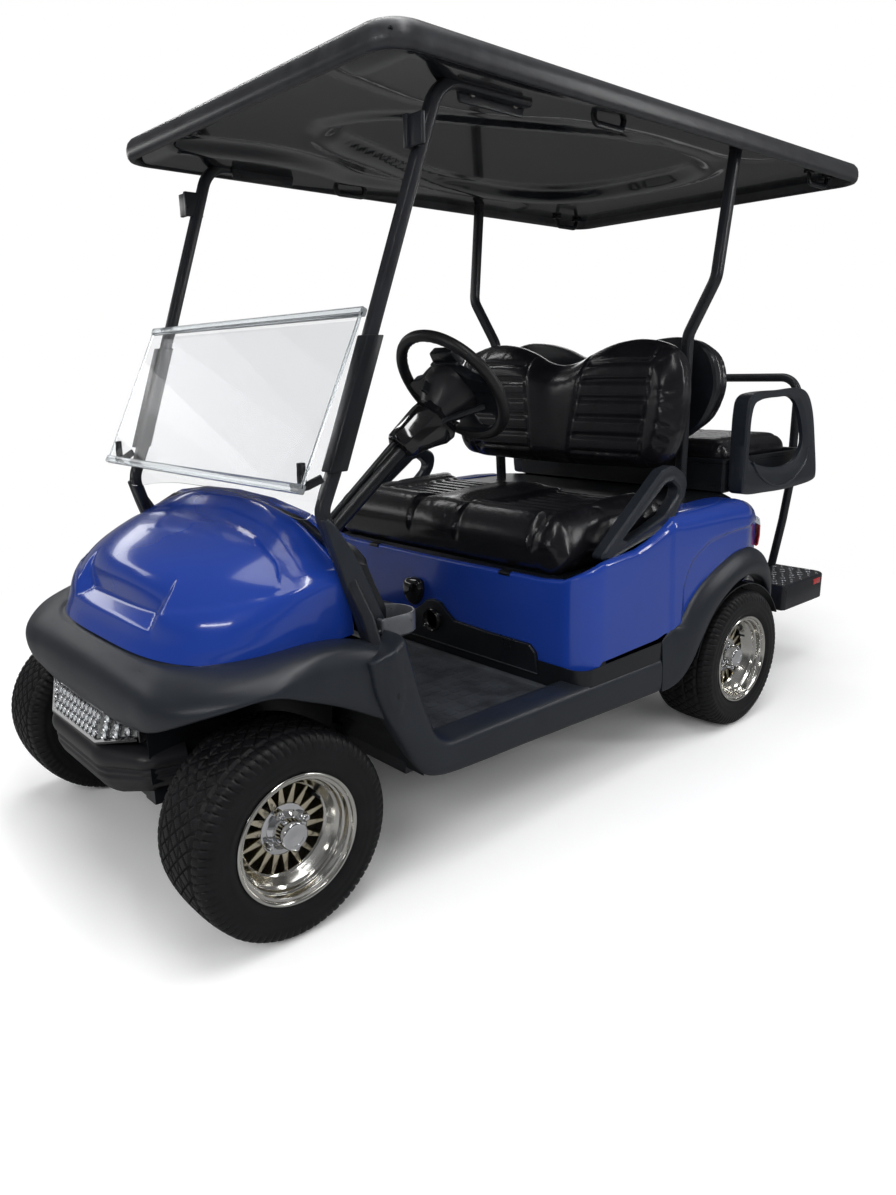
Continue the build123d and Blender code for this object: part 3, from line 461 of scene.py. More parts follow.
# Left half of the moulded well in the ceiling, and the edge of the pads that the pillars bolt to, (x, y).
WELL = [(0, 585), (90, 620), (165, 700), (238, 880), (316, 1072), (372, 1240), (392, 1450), (372, 1640),
        (300, 1790), (170, 1860), (0, 1874)]
PAD = [(368, 300), (335, 430), (307, 606), (345, 790), (421, 949), (447, 1200), (449, 1500), (452, 1700),
       (500, 1795), (600, 1830), (620, 1830), (620, 300)]


def ceiling_height(points):
    folded = np.abs(points[:, 0])
    half = np.stack([folded, points[:, 1]], axis=1)
    well_in = depth_in(half, [tuple(p) for p in flow(WELL, 6)] + [(-400, 1874), (-400, 585)])
    pad_in = depth_in(half, [tuple(p) for p in flow(PAD[:10], 6)] + PAD[10:])
    z = np.full(len(points), 1757.0)
    z += 24 * ramp(well_in, 2, 40)
    z -= 10 * np.exp(-((well_in + 24) / 22) ** 2)
    lobe = 1 - ramp(half[:, 1], 700, 1500)
    z -= (6 + 20 * lobe) * ramp(pad_in, -14, 26 + 24 * lobe)
    z += 3 * np.exp(-((pad_in + 22) / 10) ** 2)
    return z


def make_roof():
    def ring(inset, z):
        corners = [(ROOF_HALF - inset, ROOF_FRONT + inset), (ROOF_HALF - inset, ROOF_REAR - inset),
                   (inset - ROOF_HALF, ROOF_REAR - inset), (inset - ROOF_HALF, ROOF_FRONT + inset)]
        return [(x, y, z) for x, y in arc_corners(corners, max(82 - inset, 22), 9)]

    crown = [ring(inset, z) for inset, z in ((560, 1789), (400, 1789), (230, 1787), (150, 1785), (122, 1782))]
    rows = crown + [ring(inset, z) for inset, z in ROOF_BAND]
    shape = loft(rows, wrap=True)
    shape[1].append(tuple(range(len(rows[0]))))
    add("roof_shell", shape, "roof_rim", stands_for=["canopy"], crease=50)
    xs = np.linspace(22 - ROOF_HALF, ROOF_HALF - 22, 81)
    ys = np.linspace(ROOF_FRONT + 22, ROOF_REAR - 22, 136)
    grid = np.array([(x, y) for y in ys for x in xs])
    z = ceiling_height(grid)
    rows = [[(x, y, z[j * len(xs) + i]) for i, x in enumerate(xs)] for j, y in enumerate(ys)]
    add("roof_ceiling", loft(rows), "ceiling", wall=-4, crease=70)
    grip = arc_corners([(0, -62, 0), (0, -52, -30), (0, 52, -30), (0, 62, 0)], 14, 4, closed=False)
    parts = []
    for y in (1008, 2100):
        path = [(524 + p[0], y + p[1], 1744 + p[2]) for p in grip]
        parts.append(sweep(path, square_section(16, 9, 3), up=(1, 0, 0)))
        for end in (-62, 62):
            parts.append(block(512, 536, y + end - 14, y + end + 14, 1741, 1752))
    add("roof_grips", both(merge(*parts)), "trim_black", bevel=2)


# ---------------------------------------------------------------- pillars and struts
PILLAR = [(496, 752, 1731), (494, 487, 1731), (467, 199, 952), (466, 163, 872), (484, 210, 730),
          (512, 236, 640), (542, 243, 550)]
REAR_STRUT = [(521, 1597, 1752), (508, 1556, 1403), (412, 1573, 1245), (400, 1592, 712)]


def make_pillars():
    path = arc_corners(PILLAR, [0, 85, 70, 60, 90, 60, 0], 8, closed=False)
    post = sweep(path, square_section(28, 28, 7), up=(0, 1, 0.2))
    add("front_pillars", both(post), "powder_black", stands_for=["front_struts"], crease=40)
    path = arc_corners(REAR_STRUT, [0, 70, 70, 0], 8, closed=False)
    strut = sweep(path, square_section(30, 30, 7), up=(0, 1, 0))
    add("rear_uprights", both(strut), "powder_black", stands_for=["rear_struts"], crease=40)
    plate = prism("x", arc_corners([(556, 1700), (752, 1700), (766, 1752), (548, 1752)], 8, 3), 474, 481)
    bolts = [moved(lathe([(0, 0), (0, 10), (5, 10), (8, 6), (8, 0)], 12), by=(481, y, 1724))
             for y in (592, 724)]
    clip = merge(block(480, 492, 400, 452, 1588, 1652), block(484, 532, 406, 416, 1590, 1650))
    add("pillar_plates", both(merge(plate, clip)), "powder_black", bevel=2)
    add("pillar_bolts", both(merge(*bolts)), "bare_steel")


# ---------------------------------------------------------------- bonnet
# Contours from the bottom up: height at the centre and at the rear end, front y, end point, squareness.
BONNET = [
    (573, 594, -149, 462, 236, 3.5), (606, 640, -133, 467, 230, 3.5), (655, 690, -117, 470, 220, 3.1),
    (705, 738, -97, 468, 208, 2.4), (750, 771, -54, 427, 201, 2.1), (785, 799, 19, 380, 200, 2.05),
    (815, 828, 92, 320, 200, 2.1), (838, 848, 138, 250, 200, 2.2), (858, 866, 168, 165, 200, 2.3),
    (869, 872, 186, 80, 200, 2.2), (873, 873, 199, 5, 201, 2.0)]
# Wedge pressed into the bonnet's front: half width at each height; its deepest line is WEDGE_LOW.
WEDGE_SIDES = [(626, 217), (665, 236), (705, 238), (734, 222)]
WEDGE_TOP, WEDGE_LOW, WEDGE_BOTTOM, WEDGE_DEPTH = 734, 651, 626, 30
SIDE_CREASE = [(225, 667), (288, 673), (364, 685), (431, 704), (462, 722)]
DOME_EDGE = [(0, 88), (160, 100), (280, 101), (390, 92), (440, 66)]


def bonnet_contour(level, count=131):
    z0, z1, front, end_x, end_y, square = level
    power = 2 / square
    t = np.linspace(0, 1, 500) ** (0.5 * square) * pi / 2
    t = np.concatenate([t, np.linspace(0, pi / 2, 300)])
    t.sort()
    s, c = np.sin(t), np.clip(np.cos(t), 0, 1)
    x, y = end_x * s ** power, end_y - (end_y - front) * c ** power
    run = even(np.stack([x, y], axis=1), count)
    share = np.linspace(0, 1, count)
    return np.column_stack([run, z0 + (z1 - z0) * share ** 3])


def dash_height(x):
    """Top of the dash, which arches over the bonnet's rear end."""
    return float(np.interp(abs(x), [0, 165, 320, 427, 474], [874, 868, 846, 806, 768]))


def make_bonnet():
    levels = [bonnet_contour(level) for level in BONNET]
    columns = np.array([flow(column, 8) for column in zip(*levels)])
    # rows moved on to the wedge's folds, so that these stay crisp
    count = np.arange(columns.shape[1])
    folds = [float(np.interp(height, columns[0, :, 2], count))
             for height in (WEDGE_BOTTOM, WEDGE_LOW, WEDGE_TOP)]
    steps = np.interp(count, [0, *np.round(folds), count[-1]], [0, *folds, count[-1]])
    columns = np.array([[np.interp(steps, count, column[:, k]) for k in range(3)] for column in columns])
    columns = columns.transpose(0, 2, 1)
    x, y, z = columns[:, :, 0].copy(), columns[:, :, 1].copy(), columns[:, :, 2].copy()
    heights, widths = (np.array(column, float) for column in zip(*WEDGE_SIDES))
    shelf = (z - WEDGE_BOTTOM) / (WEDGE_LOW - WEDGE_BOTTOM)
    slope = (WEDGE_TOP - z) / (WEDGE_TOP - WEDGE_LOW)
    flank = (np.interp(z, heights, widths) - np.abs(x)) / 52
    press = WEDGE_DEPTH * np.clip(np.minimum(np.minimum(shelf, slope), flank), 0, 1)
    columns[:, :, 1] += np.where(y < 60, press, 0)
    # the band below the side crease stands proud, and the bonnet steps down behind its dome
    crease = np.interp(np.abs(x), *zip(*SIDE_CREASE), left=0)
    band = (1 - ramp(z - crease, -2, 5)) * ramp(z - crease, -75, -12) * ramp(np.abs(x), 205, 260)
    behind = (y - np.interp(np.abs(x), *zip(*DOME_EDGE))) / (30 - 20 * ramp(np.abs(x), 180, 360))
    step = ramp(behind, 0, 1) * ramp(z - crease, 4, 22)
    du, dv = np.gradient(columns, axis=0), np.gradient(columns, axis=1)
    normal = np.cross(du, dv)
    normal /= np.maximum(np.linalg.norm(normal, axis=2), 1e-6)[:, :, None]
    normal *= np.sign(normal[:, :, 2] + 0.2)[:, :, None]
    columns += normal * (4.0 * band)[:, :, None]
    columns[:, :, 2] -= 2.6 * step
    rows = [[tuple(p) for p in column] for column in columns]
    add("bonnet", loft(mirrored_rows(rows)), "blue_paint", stands_for=["front_cowl"], wall=4, crease=70)
    ends = [(5, 201, 873), (80, 200, 872), (165, 200, 866), (250, 200, 848), (320, 200, 828), (380, 200, 799),
            (427, 201, 771), (462, 206, 740), (474, 212, 700)]
    ends = flow(ends, 8)
    rear = []
    for dy, rise in ((-3, -5), (0, 0), (5, 2), (12, -1)):
        rear.append([(x, y + dy, z - 2.5 + rise) for x, y, z in ends])
    rear.append([(x * 1.005, 222, dash_height(x) - 4) for x, y, z in ends])
    rear.append([(x * 1.01, 236, dash_height(x)) for x, y, z in ends])
    columns = [list(column) for column in zip(*rear)]
    add("bonnet_rear", loft(mirrored_rows([[(0, p[1], p[2]) for p in columns[0]]] + columns)), "blue_paint",
        wall=3, crease=50)


# ---------------------------------------------------------------- nose, fenders and bumper
# Sections from the bonnet's edge over the crown to the lip and its return, from the centre round to the post.
NOSE = [[(0, -139, 574), (0, -146, 569), (0, -160, 566), (0, -186, 551), (0, -205, 525), (0, -213, 490),
         (0, -212, 458), (0, -204, 428), (0, -188, 424)],
        [(150, -139, 574), (150, -146, 569), (150, -160, 566), (150, -186, 551), (150, -205, 526),
         (150, -213, 492), (150, -212, 461), (150, -203, 432), (150, -188, 428)],
        [(250, -130, 574), (251, -138, 569), (255, -155, 566), (258, -182, 551), (260, -203, 526),
         (262, -211, 495), (260, -210, 467), (256, -201, 440), (250, -187, 436)],
        [(322, -108, 578), (329, -114, 573), (337, -130, 572), (350, -165, 559), (360, -192, 537),
         (366, -206, 511), (366, -207, 484), (362, -200, 461), (352, -188, 457)],
        [(352, -82, 581), (360, -86, 576), (380, -98, 577), (415, -130, 566), (440, -155, 548),
         (452, -172, 525), (455, -176, 507), (452, -172, 496), (442, -160, 491)],
        [(370, -50, 583), (378, -52, 579), (405, -60, 582), (460, -85, 575), (500, -105, 561),
         (518, -115, 543), (522, -118, 532), (520, -118, 525), (508, -110, 520)],
        [(385, 0, 586), (393, 0, 582), (425, -5, 588), (490, -15, 589), (540, -25, 579), (562, -32, 563),
         (568, -35, 553), (568, -35, 546), (555, -32, 541)],
        [(403, 60, 589), (411, 60, 585), (440, 58, 593), (505, 55, 604), (552, 50, 597), (572, 48, 575),
         (578, 46, 546), (578, 45, 520), (566, 45, 516)],
        [(415, 110, 591), (423, 110, 587), (450, 110, 597), (515, 112, 611), (556, 112, 604), (574, 112, 578),
         (579, 112, 540), (578, 115, 490), (566, 115, 486)],
        [(432, 180, 590), (440, 180, 586), (465, 182, 596), (520, 185, 603), (560, 186, 596), (577, 186, 566),
         (580, 184, 516), (578, 182, 455), (566, 182, 451)],
        [(455, 228, 584), (462, 230, 580), (480, 240, 585), (525, 252, 586), (560, 256, 574), (577, 252, 545),
         (580, 240, 492), (578, 224, 432), (566, 224, 428)]]


def make_nose():
    rows = quilt(NOSE, 5, 7)
    add("nose_and_fenders", loft(mirrored_rows(rows)), "moulded_grey", stands_for=["front_fascia"], wall=3.5,
        crease=60)
    path = arc_corners([(-292, -96), (-266, -182), (-140, -241), (140, -241), (266, -182), (292, -96)],
                       [0, 60, 120, 120, 60, 0], 12, closed=False)
    section = flow([(-46, 380), (-24, 374), (-9, 364), (-2, 353), (0, 342), (-3, 330), (-9, 321), (-7, 313),
                    (-10, 305), (-8, 297), (-11, 288), (-17, 274), (-29, 258), (-48, 246), (-66, 242)],
                   4) + [(-92, 246), (-92, 378)]
    rows = []
    for i, p in enumerate(path):
        ahead = path[min(i + 1, len(path) - 1)] - path[max(i - 1, 0)]
        ahead = ahead / np.linalg.norm(ahead)
        out = np.array([ahead[1], -ahead[0]])
        lift = 24 * float(ramp(abs(p[0]), 170, 292))
        row = []
        for depth, z in section:
            spot = p + out * depth * (-1 if out[1] > 0 else 1)
            row.append((spot[0], spot[1], z + lift * (378 - z) / 115))
        rows.append(row)
    add("bumper", solid(rows), "bumper_black", stands_for=["front_bumper"], crease=48)


LAMP_TOP = [(-252, -176, 452), (-132, -206, 438), (132, -206, 438), (252, -176, 452)]
LAMP_LOW = [(-252, -180, 410), (-132, -228, 379), (132, -228, 379), (252, -180, 410)]


def make_lamp():
    """Lens bar: a flat middle and two swept-back ends, with rows of small round lenses in a dark bezel."""
    back = [[(x, y + 16, z) for x, y, z in row] for row in (LAMP_LOW, LAMP_TOP)]
    add("lamp_bar", loft([LAMP_TOP, LAMP_LOW, *back], join=True, caps=True), "lamp_back",
        stands_for=["headlight_bar"], bevel=2)
    cups, lenses = [], []
    cup = [(0, 9.4), (5, 9.6), (6.2, 9.0), (5, 8.2), (1.5, 5.8), (0.8, 0.01)]
    dome = [(1, 6.6), (3.6, 6.0), (6, 4.1), (7.2, 2.0), (7.6, 0.01)]

    def lens(a, b, c, d, u, v):
        a, b, c, d = (np.array(corner, float) for corner in (a, b, c, d))
        p = (a * (1 - u) + b * u) * (1 - v) + (d * (1 - u) + c * u) * v
        across, down = b - a, d - a
        out = np.cross(down, across)
        out /= np.linalg.norm(out)
        across /= np.linalg.norm(across)
        turn = np.column_stack([out, across, np.cross(out, across)])
        cups.append(moved(lathe(cup, 14), turn, p + out * 0.5))
        lenses.append(moved(lathe(dome, 10), turn, p + out * 0.5))

    for row in range(3):
        for k in range(11 - row % 2):
            lens(LAMP_TOP[1], LAMP_TOP[2], LAMP_LOW[2], LAMP_LOW[1], (k + 0.62 + 0.5 * (row % 2)) / 11.3,
                 0.2 + 0.3 * row)
    for k, rows_of in enumerate(((0.2, 0.5, 0.8), (0.2, 0.5, 0.8), (0.28, 0.7))):
        for share in rows_of:
            u = (k + 0.62) / 3.5
            lens(LAMP_TOP[2], LAMP_TOP[3], LAMP_LOW[3], LAMP_LOW[2], u, share)
            lens(LAMP_TOP[0], LAMP_TOP[1], LAMP_LOW[1], LAMP_LOW[0], 1 - u, share)
    add("lamp_cups", merge(*cups), "chrome", crease=60)
    add("lamp_lenses", merge(*lenses), "lamp_clear", crease=80)
    ledge = [[(x * 1.01, y - 8, z - 1) for x, y, z in LAMP_LOW],
             [(x * 1.01, y - 9, z - 6) for x, y, z in LAMP_LOW],
             [(x * 1.01, y + 14, z - 8) for x, y, z in LAMP_LOW],
             [(x * 1.01, y + 14, z - 1) for x, y, z in LAMP_LOW]]
    ends = [prism("y", [(252, 404), (262, 402), (266, 454), (252, 456)], -186, -160)]
    add("lamp_bezel", merge(loft(ledge, join=True, caps=True), both(ends[0])), "gloss_black", bevel=1.5)
    lip = sweep([(x, y - 1, z + 2) for x, y, z in LAMP_TOP], round_section(2.2, 8))
    add("lamp_lip", lip, "chrome", crease=60)


# ---------------------------------------------------------------- wheels
TREAD_ROWS, TREAD_HALF = 462, 84
TREAD_BLOCKS, SHOULDER_RIBS = 42, 77
SIDEWALL = [(88, 127), (89.5, 141), (95, 147), (99, 158), (101.5, 165), (100.8, 167), (102.4, 172),
            (102.5, 182), (101.3, 190), (102, 192), (101, 200)]


def make_tyre():
    """Section points, dense over the tread; grooves are cut by how near a point is to a groove's line."""
    side = list(SIDEWALL)
    shoulder = [tuple(p) for p in flow([(101, 200), (97, 211), (90, 219.5), (TREAD_HALF, 223)], 3)]
    crown = [(x, 229.2 - 6.2 * abs(x / TREAD_HALF) ** 2.6) for x in np.linspace(TREAD_HALF, -TREAD_HALF, 51)]
    half = side + shoulder[1:]
    section = np.array(half + crown[1:-1] + [(-x, r) for x, r in reversed(half)])
    x, r = section[:, 0], section[:, 1]
    rows = []
    for k in range(TREAD_ROWS):
        angle = 2 * pi * k / TREAD_ROWS
        cut = np.zeros(len(x))
        for way in (1, -1):
            phase = TREAD_BLOCKS * angle / (2 * pi) + way * x / 36.96
            gap = np.abs(phase - np.round(phase)) * 26
            cut = np.maximum(cut, 6.0 * (1 - ramp(gap, 1.2, 2.4)) * (1 - ramp(np.abs(x), 58, 62)))
        for at_x in (62, -62, 20.5, -20.5):
            cut = np.maximum(cut, 6.5 * (1 - ramp(np.abs(x - at_x), 1.6, 3.0)))
        phase = SHOULDER_RIBS * angle / (2 * pi) + np.abs(x) / 90
        gap = np.abs(phase - np.round(phase)) * 17
        rib = (1 - ramp(gap, 0.6, 2.6)) * ramp(np.abs(x), 64, 66) * ramp(r, 196, 204)
        cut = np.maximum(cut, 3.6 * rib)
        radius = r - cut
        rows.append([(x[i] - np.sign(x[i]) * cut[i] * (0.5 if abs(x[i]) > 88 else 0), radius[i] * cos(angle),
                      radius[i] * sin(angle)) for i in range(len(x))])
    return loft(rows, join=True)


BARREL = [(-95, 134), (-96, 139), (-94, 142), (-90, 141), (-89, 127), (-40, 127), (-25, 108), (34, 108),
          (56, 127), (89, 127), (90, 141), (92.5, 143.5), (95.5, 143.5), (98, 141), (97.5, 137.5),
          (94.5, 134.5), (88, 133), (86, 129.5), (73, 127), (71, 123), (62, 120.5), (57, 115), (43, 106.5),
          (37, 103), (34, 99), (28, 99), (-22, 103), (-38, 122), (-62, 121), (-87, 123)]
SPOKES, NUT_CIRCLE_R = 18, 47


def make_wheels():
    tyre = make_tyre()
    barrel = lathe([tuple(p) for p in arc_corners(BARREL, 1.6, 2)], 96, closed=True)
    spokes = []
    for k in range(SPOKES):
        angle = 2 * pi * (k + 0.5) / SPOKES
        turn = [[1, 0, 0], [0, cos(angle), -sin(angle)], [0, sin(angle), cos(angle)]]
        bar = prism("x", [(52, -8.6), (101, -3.4), (101, 3.4), (52, 8.6)], 6, 32)
        spokes.append(moved(bar, turn))
    hub = lathe([(8, 20), (8, 58), (31, 58), (35, 56), (36, 52), (36, 44), (40, 40), (44, 34), (74, 31),
                 (78, 29.5), (79.5, 27), (79.5, 20.2), (78, 20.1), (8, 20.1)], 64, closed=True)
    face = lathe([(76, 0.01), (77.5, 12), (78.8, 20), (79.6, 26)], 48)
    nut = lathe([(30, 0.01), (30, 10.5), (50, 10.5), (54, 9), (57.5, 5), (58.5, 0.01)], 6)
    nuts = []
    for k in range(4):
        angle = 2 * pi * k / 4 + 0.35
        nuts.append(moved(nut, by=(0, NUT_CIRCLE_R * cos(angle), NUT_CIRCLE_R * sin(angle))))
    valve = moved(lathe([(28, 0.01), (28, 4.5), (40, 4), (41, 3.2), (54, 3.2), (55, 0.01)], 12),
                  by=(0, 78, 52))
    # Disc right behind the spokes, standing in for the drum behind them; its near-black colour is painted
    # shade in the spoke windows.
    window_shade_disc = lathe([(2, 20), (2, 101), (6, 101), (6, 20)], 64, closed=True)
    pieces = (("tyre", tyre, "tyre_rubber", 70, 0), ("barrel", barrel, "polished", 45, 0),
              ("spokes", merge(*spokes), "champagne", 30, 2), ("hub", merge(hub, face), "chrome", 40, 0),
              ("nuts", merge(*nuts), "chrome", 30, 0.8), ("valve", valve, "trim_black", 40, 0),
              ("window_shade_disc", window_shade_disc, "spoke_window_shade", 40, 0))
    for where, x, y in (("front_left", FRONT_WHEEL_X, 0), ("front_right", -FRONT_WHEEL_X, 0),
                        ("rear_left", REAR_WHEEL_X, WHEELBASE), ("rear_right", -REAR_WHEEL_X, WHEELBASE)):
        for name, shape, look, crease, bevel in pieces:
            mine = shape if x > 0 else flipped(shape)
            stands = {"tyre": ["tyre_" + where], "barrel": ["rim_" + where]}.get(name, [])
            add("wheel_" + name + "_" + where, moved(mine, by=(x, y, TYRE_R)), look, "wheel_" + where, stands,
                bevel=bevel, crease=crease, segments=2)


# ---------------------------------------------------------------- post and sill
# Across the door post and then the sill: (y, z) of the front or lower edge and of the rear or upper edge.
POST = [((186, 566), (278, 600)), ((190, 540), (291, 560)), ((197, 500), (309, 497)),
        ((219, 440), (325, 445)), ((249, 385), (343, 400)), ((277, 335), (358, 362)),
        ((302, 296), (378, 341)), ((330, 266), (400, 330)), ((364, 252), (432, 328)),
        ((410, 246), (490, 329)), ((700, 237), (720, 329)), ((980, 228), (990, 328)),
        ((1237, 221), (1237, 327))]


def make_sills():
    rows = []
    for low, high in POST:
        low, high = np.array(low, float), np.array(high, float)
        length = np.linalg.norm(high - low)
        way = (high - low) / length
        row = []
        for x, a in ((522, 16), (560, 3), (584, 0), (595, 7), (599, 20), (600, 0.5 * length),
                     (598, length - 16), (592, length - 4), (578, length + 3), (552, length + 6),
                     (518, length + 4), (512, length - 8), (512, length - 34)):
            y, z = low + way * a
            row.append((x, y, z))
        rows.append(row)
    top = [[(505 + (p[0] - 505) * k, 262 + (p[1] - 262) * k2, p[2] + up) for p in rows[0]]
           for k, k2, up in ((0.25, 0.6, 5), (0.75, 0.85, 5), (0.93, 0.95, 4))]
    fine = np.array(quilt(top + rows, 4, 5))
    y, z = fine[:, :, 1], fine[:, :, 2]
    lean = (y - 238) / 27 + (z - 525) / 500
    bulge = 1 - ramp(np.hypot(lean, (z - 520) / 92), 0.75, 1.0)
    fine[:, :, 0] += np.where(fine[:, :, 0] > 590, 6 * bulge, 0)
    add("door_sills", both(loft(fine)), "moulded_grey", stands_for=["rockers"], wall=3.5, crease=60)
    # Dark boss where the post has a hole: its black is the painted shade of the hole.
    hole_shade = prism("x", [(243 + 5 * cos(a), 485 + 8 * sin(a)) for a in np.linspace(0, 2 * pi, 17)[:-1]], 596,
                 606.5)
    add("post_hole_shades", both(hole_shade), "trim_black", bevel=0.8)
    strip = prism("x", [(950, 318), (1236, 316), (1262, 352), (1262, 402), (1213, 392), (960, 384),
                        (950, 372)], 586, 593)
    add("sill_strips", both(strip), "trim_black", bevel=1)


# ---------------------------------------------------------------- rear body
# Half plan of the body from the middle of its front wall to the middle of its rear wall.
BODY_PLAN = [(0, 880), (598, 880), (598, 1700), (540, 1850), (430, 1950), (0, 1950)]
BODY_TOP = [(0, 600), (440, 603), (510, 610), (580, 634), (640, 655), (700, 661), (790, 668), (850, 684),
            (930, 714), (966, 736), (1021, 744), (1280, 748), (1380, 744), (1480, 728), (1540, 690),
            (1620, 655), (2500, 640)]
BODY_LOW = [(0, 330), (520, 341), (580, 354), (650, 374), (880, 377), (1000, 378), (2500, 380)]
ARCH_Y, ARCH_Z, ARCH_R = 1672, 215, 318
PANEL_EDGE_Y = 1262
LEDGE_Z = 588
SWOOSH = [(1335, 500), (1336, 526), (1348, 561), (1375, 600), (1423, 627), (1467, 646), (1572, 658),
          (1717, 663), (1900, 660)]


def make_body():
    plan = even(arc_corners(BODY_PLAN, [0, 88, 160, 90, 110, 0], 12, closed=False), 250)
    run = np.concatenate([[0], np.cumsum(np.linalg.norm(np.diff(plan, axis=0), axis=1))])
    ahead = np.gradient(plan, axis=0)
    ahead /= np.linalg.norm(ahead, axis=1)[:, None]
    inward = np.stack([-ahead[:, 1], ahead[:, 0]], axis=1)
    top = np.interp(run, *zip(*BODY_TOP))
    low = np.interp(run, *zip(*BODY_LOW))
    from_arch = np.clip(1 - ((plan[:, 1] - ARCH_Y) / ARCH_R) ** 2, 0, 1)
    low = np.maximum(low, np.where(from_arch > 0, ARCH_Z + ARCH_R * np.sqrt(from_arch), 0))
    soft = np.interp(run, [0, 540, 680, 920, 1010, 1480, 2500], [9, 11, 12, 16, 46, 60, 60])
    rows = []
    for share in np.linspace(0, 1, 34):
        z = low + (top - soft - low) * share
        rows.append(np.column_stack([plan, z]))
    for angle in np.linspace(12, 90, 6):
        shift = soft * (1 - cos(radians(angle)))
        z = top - soft * (1 - sin(radians(angle)))
        rows.append(np.column_stack([plan + inward * shift[:, None], z]))
    shelf = np.interp(run, [0, 540, 900, 1040, 2500], [14, 18, 22, 106, 150])
    rows.append(np.column_stack([plan + inward * shelf[:, None], top + 0.5]))
    for row in rows:
        y, z = row[:, 1], row[:, 2]
        side = ramp(row[:, 0], 500, 560)
        panel_edge = PANEL_EDGE_Y + (729 - z) * 0.065
        front = 1 - ramp(y, panel_edge - 5, panel_edge + 3)
        near_arch = ramp(np.interp(y, *zip(*SWOOSH), left=0) - z, -2, 6)
        row[:, 0] -= side * (5 * front + 6 * near_arch * (y > 1330))
    columns = [[tuple(p) for p in column] for column in zip(*rows)]
    add("rear_body_skin", loft(mirrored_rows(columns)), "blue_paint", stands_for=["rear_body"], wall=4,
        crease=60)
    deck = [(0, 742), (300, 742), (470, 743), (520, 744)]
    rows = [[(x, 1434, 586) for x, z in deck], [(x, 1424, 690) for x, z in deck]]
    rows += [[(x, y, z) for x, z in deck] for y in (1429, 1500, 1600, 1700, 1790, 1850, 1890)]
    rows = [[(min(x, 520 if y < 1750 else 430), y, z) for x, y, z in row] for row in rows]
    columns = [[row[k] for row in rows] for k in range(len(deck))]
    add("rear_deck", loft(mirrored_rows(columns)), "trim_black", wall=3)
    xs, ys = zip(*[(x, y) for x, y in plan if 884 < y < 1436 and x > 0])
    well = []
    for low, high, inner in ((887, 952, 0), (952, 1300, 470), (1300, 1436, 0)):
        well.append(loft([[(inner, y, LEDGE_Z), (float(np.interp(y, ys, xs)) - 14, y, LEDGE_Z)]
                          for y in np.linspace(low, high, 14)]))
    add("seat_well", both(merge(*well)), "trim_black", wall=3)
    ledge = [(972, 560), (972, 634), (1100, 646), (1180, 660), (1262, 690), (1290, 704), (1290, 560)]
    add("seat_ledges", both(prism("x", ledge, 532, 578)), "trim_black")


# Round the arch: angle, outer and inner radius, outer and inner x.
FLARE = [(150, 402, 289, 598, 614), (139, 391, 286, 598, 614), (127, 381, 284, 598, 614),
         (110, 371, 286, 598, 614), (97, 374, 290, 598, 613), (84, 376, 290, 596, 611),
         (72, 366, 286, 590, 608), (62, 350, 280, 580, 602), (50, 330, 272, 562, 592),
         (38, 315, 266, 540, 578), (26, 305, 264, 520, 566), (16, 300, 264, 508, 556)]


def make_flares():
    ends = [((594, 1238, 376), (600, 1240, 224)), ((595, 1254, 388), (602, 1284, 226)),
            ((596, 1274, 398), (606, 1332, 242)), ((597, 1296, 410), (611, 1374, 284))]
    for angle, r0, r1, x0, x1 in FLARE:
        c, s = cos(radians(angle)), sin(radians(angle))
        ends.append(((x0, ARCH_Y + r0 * c, ARCH_Z + r0 * s), (x1, ARCH_Y + r1 * c, ARCH_Z + r1 * s)))
    rows = []
    for i, (outer, inner) in enumerate(ends):
        outer, inner = np.array(outer, float), np.array(inner, float)
        swell = (0.15, 0.3, 0.55, 0.8)[i] if i < 4 else 1.0
        row = []
        for share, out in ((-0.02, -9), (0.0, 0), (0.05, 7), (0.2, 15), (0.45, 20), (0.72, 18), (0.92, 10),
                           (1.0, 0), (1.0, -14), (0.97, -40)):
            p = outer + (inner - outer) * share
            row.append((p[0] + out * (swell if out > 0 else 1), p[1], p[2]))
        rows.append(row)
    add("arch_flares", both(loft(quilt(rows, 4, 4))), "moulded_grey", stands_for=["rear_flares"], wall=3.5,
        crease=60)
    liner = [(ARCH_Y + 262 * cos(radians(a)), ARCH_Z + 258 * sin(radians(a))) for a in range(28, 171, 8)]
    rows = [[(x, y, z) for y, z in liner] for x in (400, 420, 585, 604)]
    add("arch_liners", both(loft(rows)), "trim_black", wall=-3, crease=60)


# ---------------------------------------------------------------- soft goods
def pillow(outline, low, high, soft, rings=26, crown=0.0):
    """Closed pad over an outline, its edge half an ellipse that is soft wide, its upper side crowned."""
    ring = np.array(outline, float)
    centre = (ring.max(axis=0) + ring.min(axis=0)) / 2
    middle, half = (low + high) / 2, (high - low) / 2
    rows_up, rows_down = [], []
    for k in range(rings + 1):
        scale = max(1 - (k / rings) ** 1.7, 0.004)
        spots = centre + (ring - centre) * scale
        depth = outline_distance(spots, outline) if k else np.zeros(len(spots))
        rise = np.sqrt(np.clip(1 - (1 - np.clip(depth / soft, 0, 1)) ** 2, 0, 1))
        swell = 1 + crown * (1 - scale ** 2)
        rows_up.append(np.column_stack([spots, middle + half * rise * swell]))
        rows_down.append(np.column_stack([spots, middle - half * rise]))
    return [list(row) for row in rows_down[::-1] + rows_up[1:]]


VOXEL = 7
SWELL_FRAMES = 20
CLOTH = {"quality": 4, "mass": 0.35, "tension_stiffness": 12, "compression_stiffness": 12,
         "shear_stiffness": 6, "bending_stiffness": 0.6, "use_pressure": True, "uniform_pressure_force": 4.0}


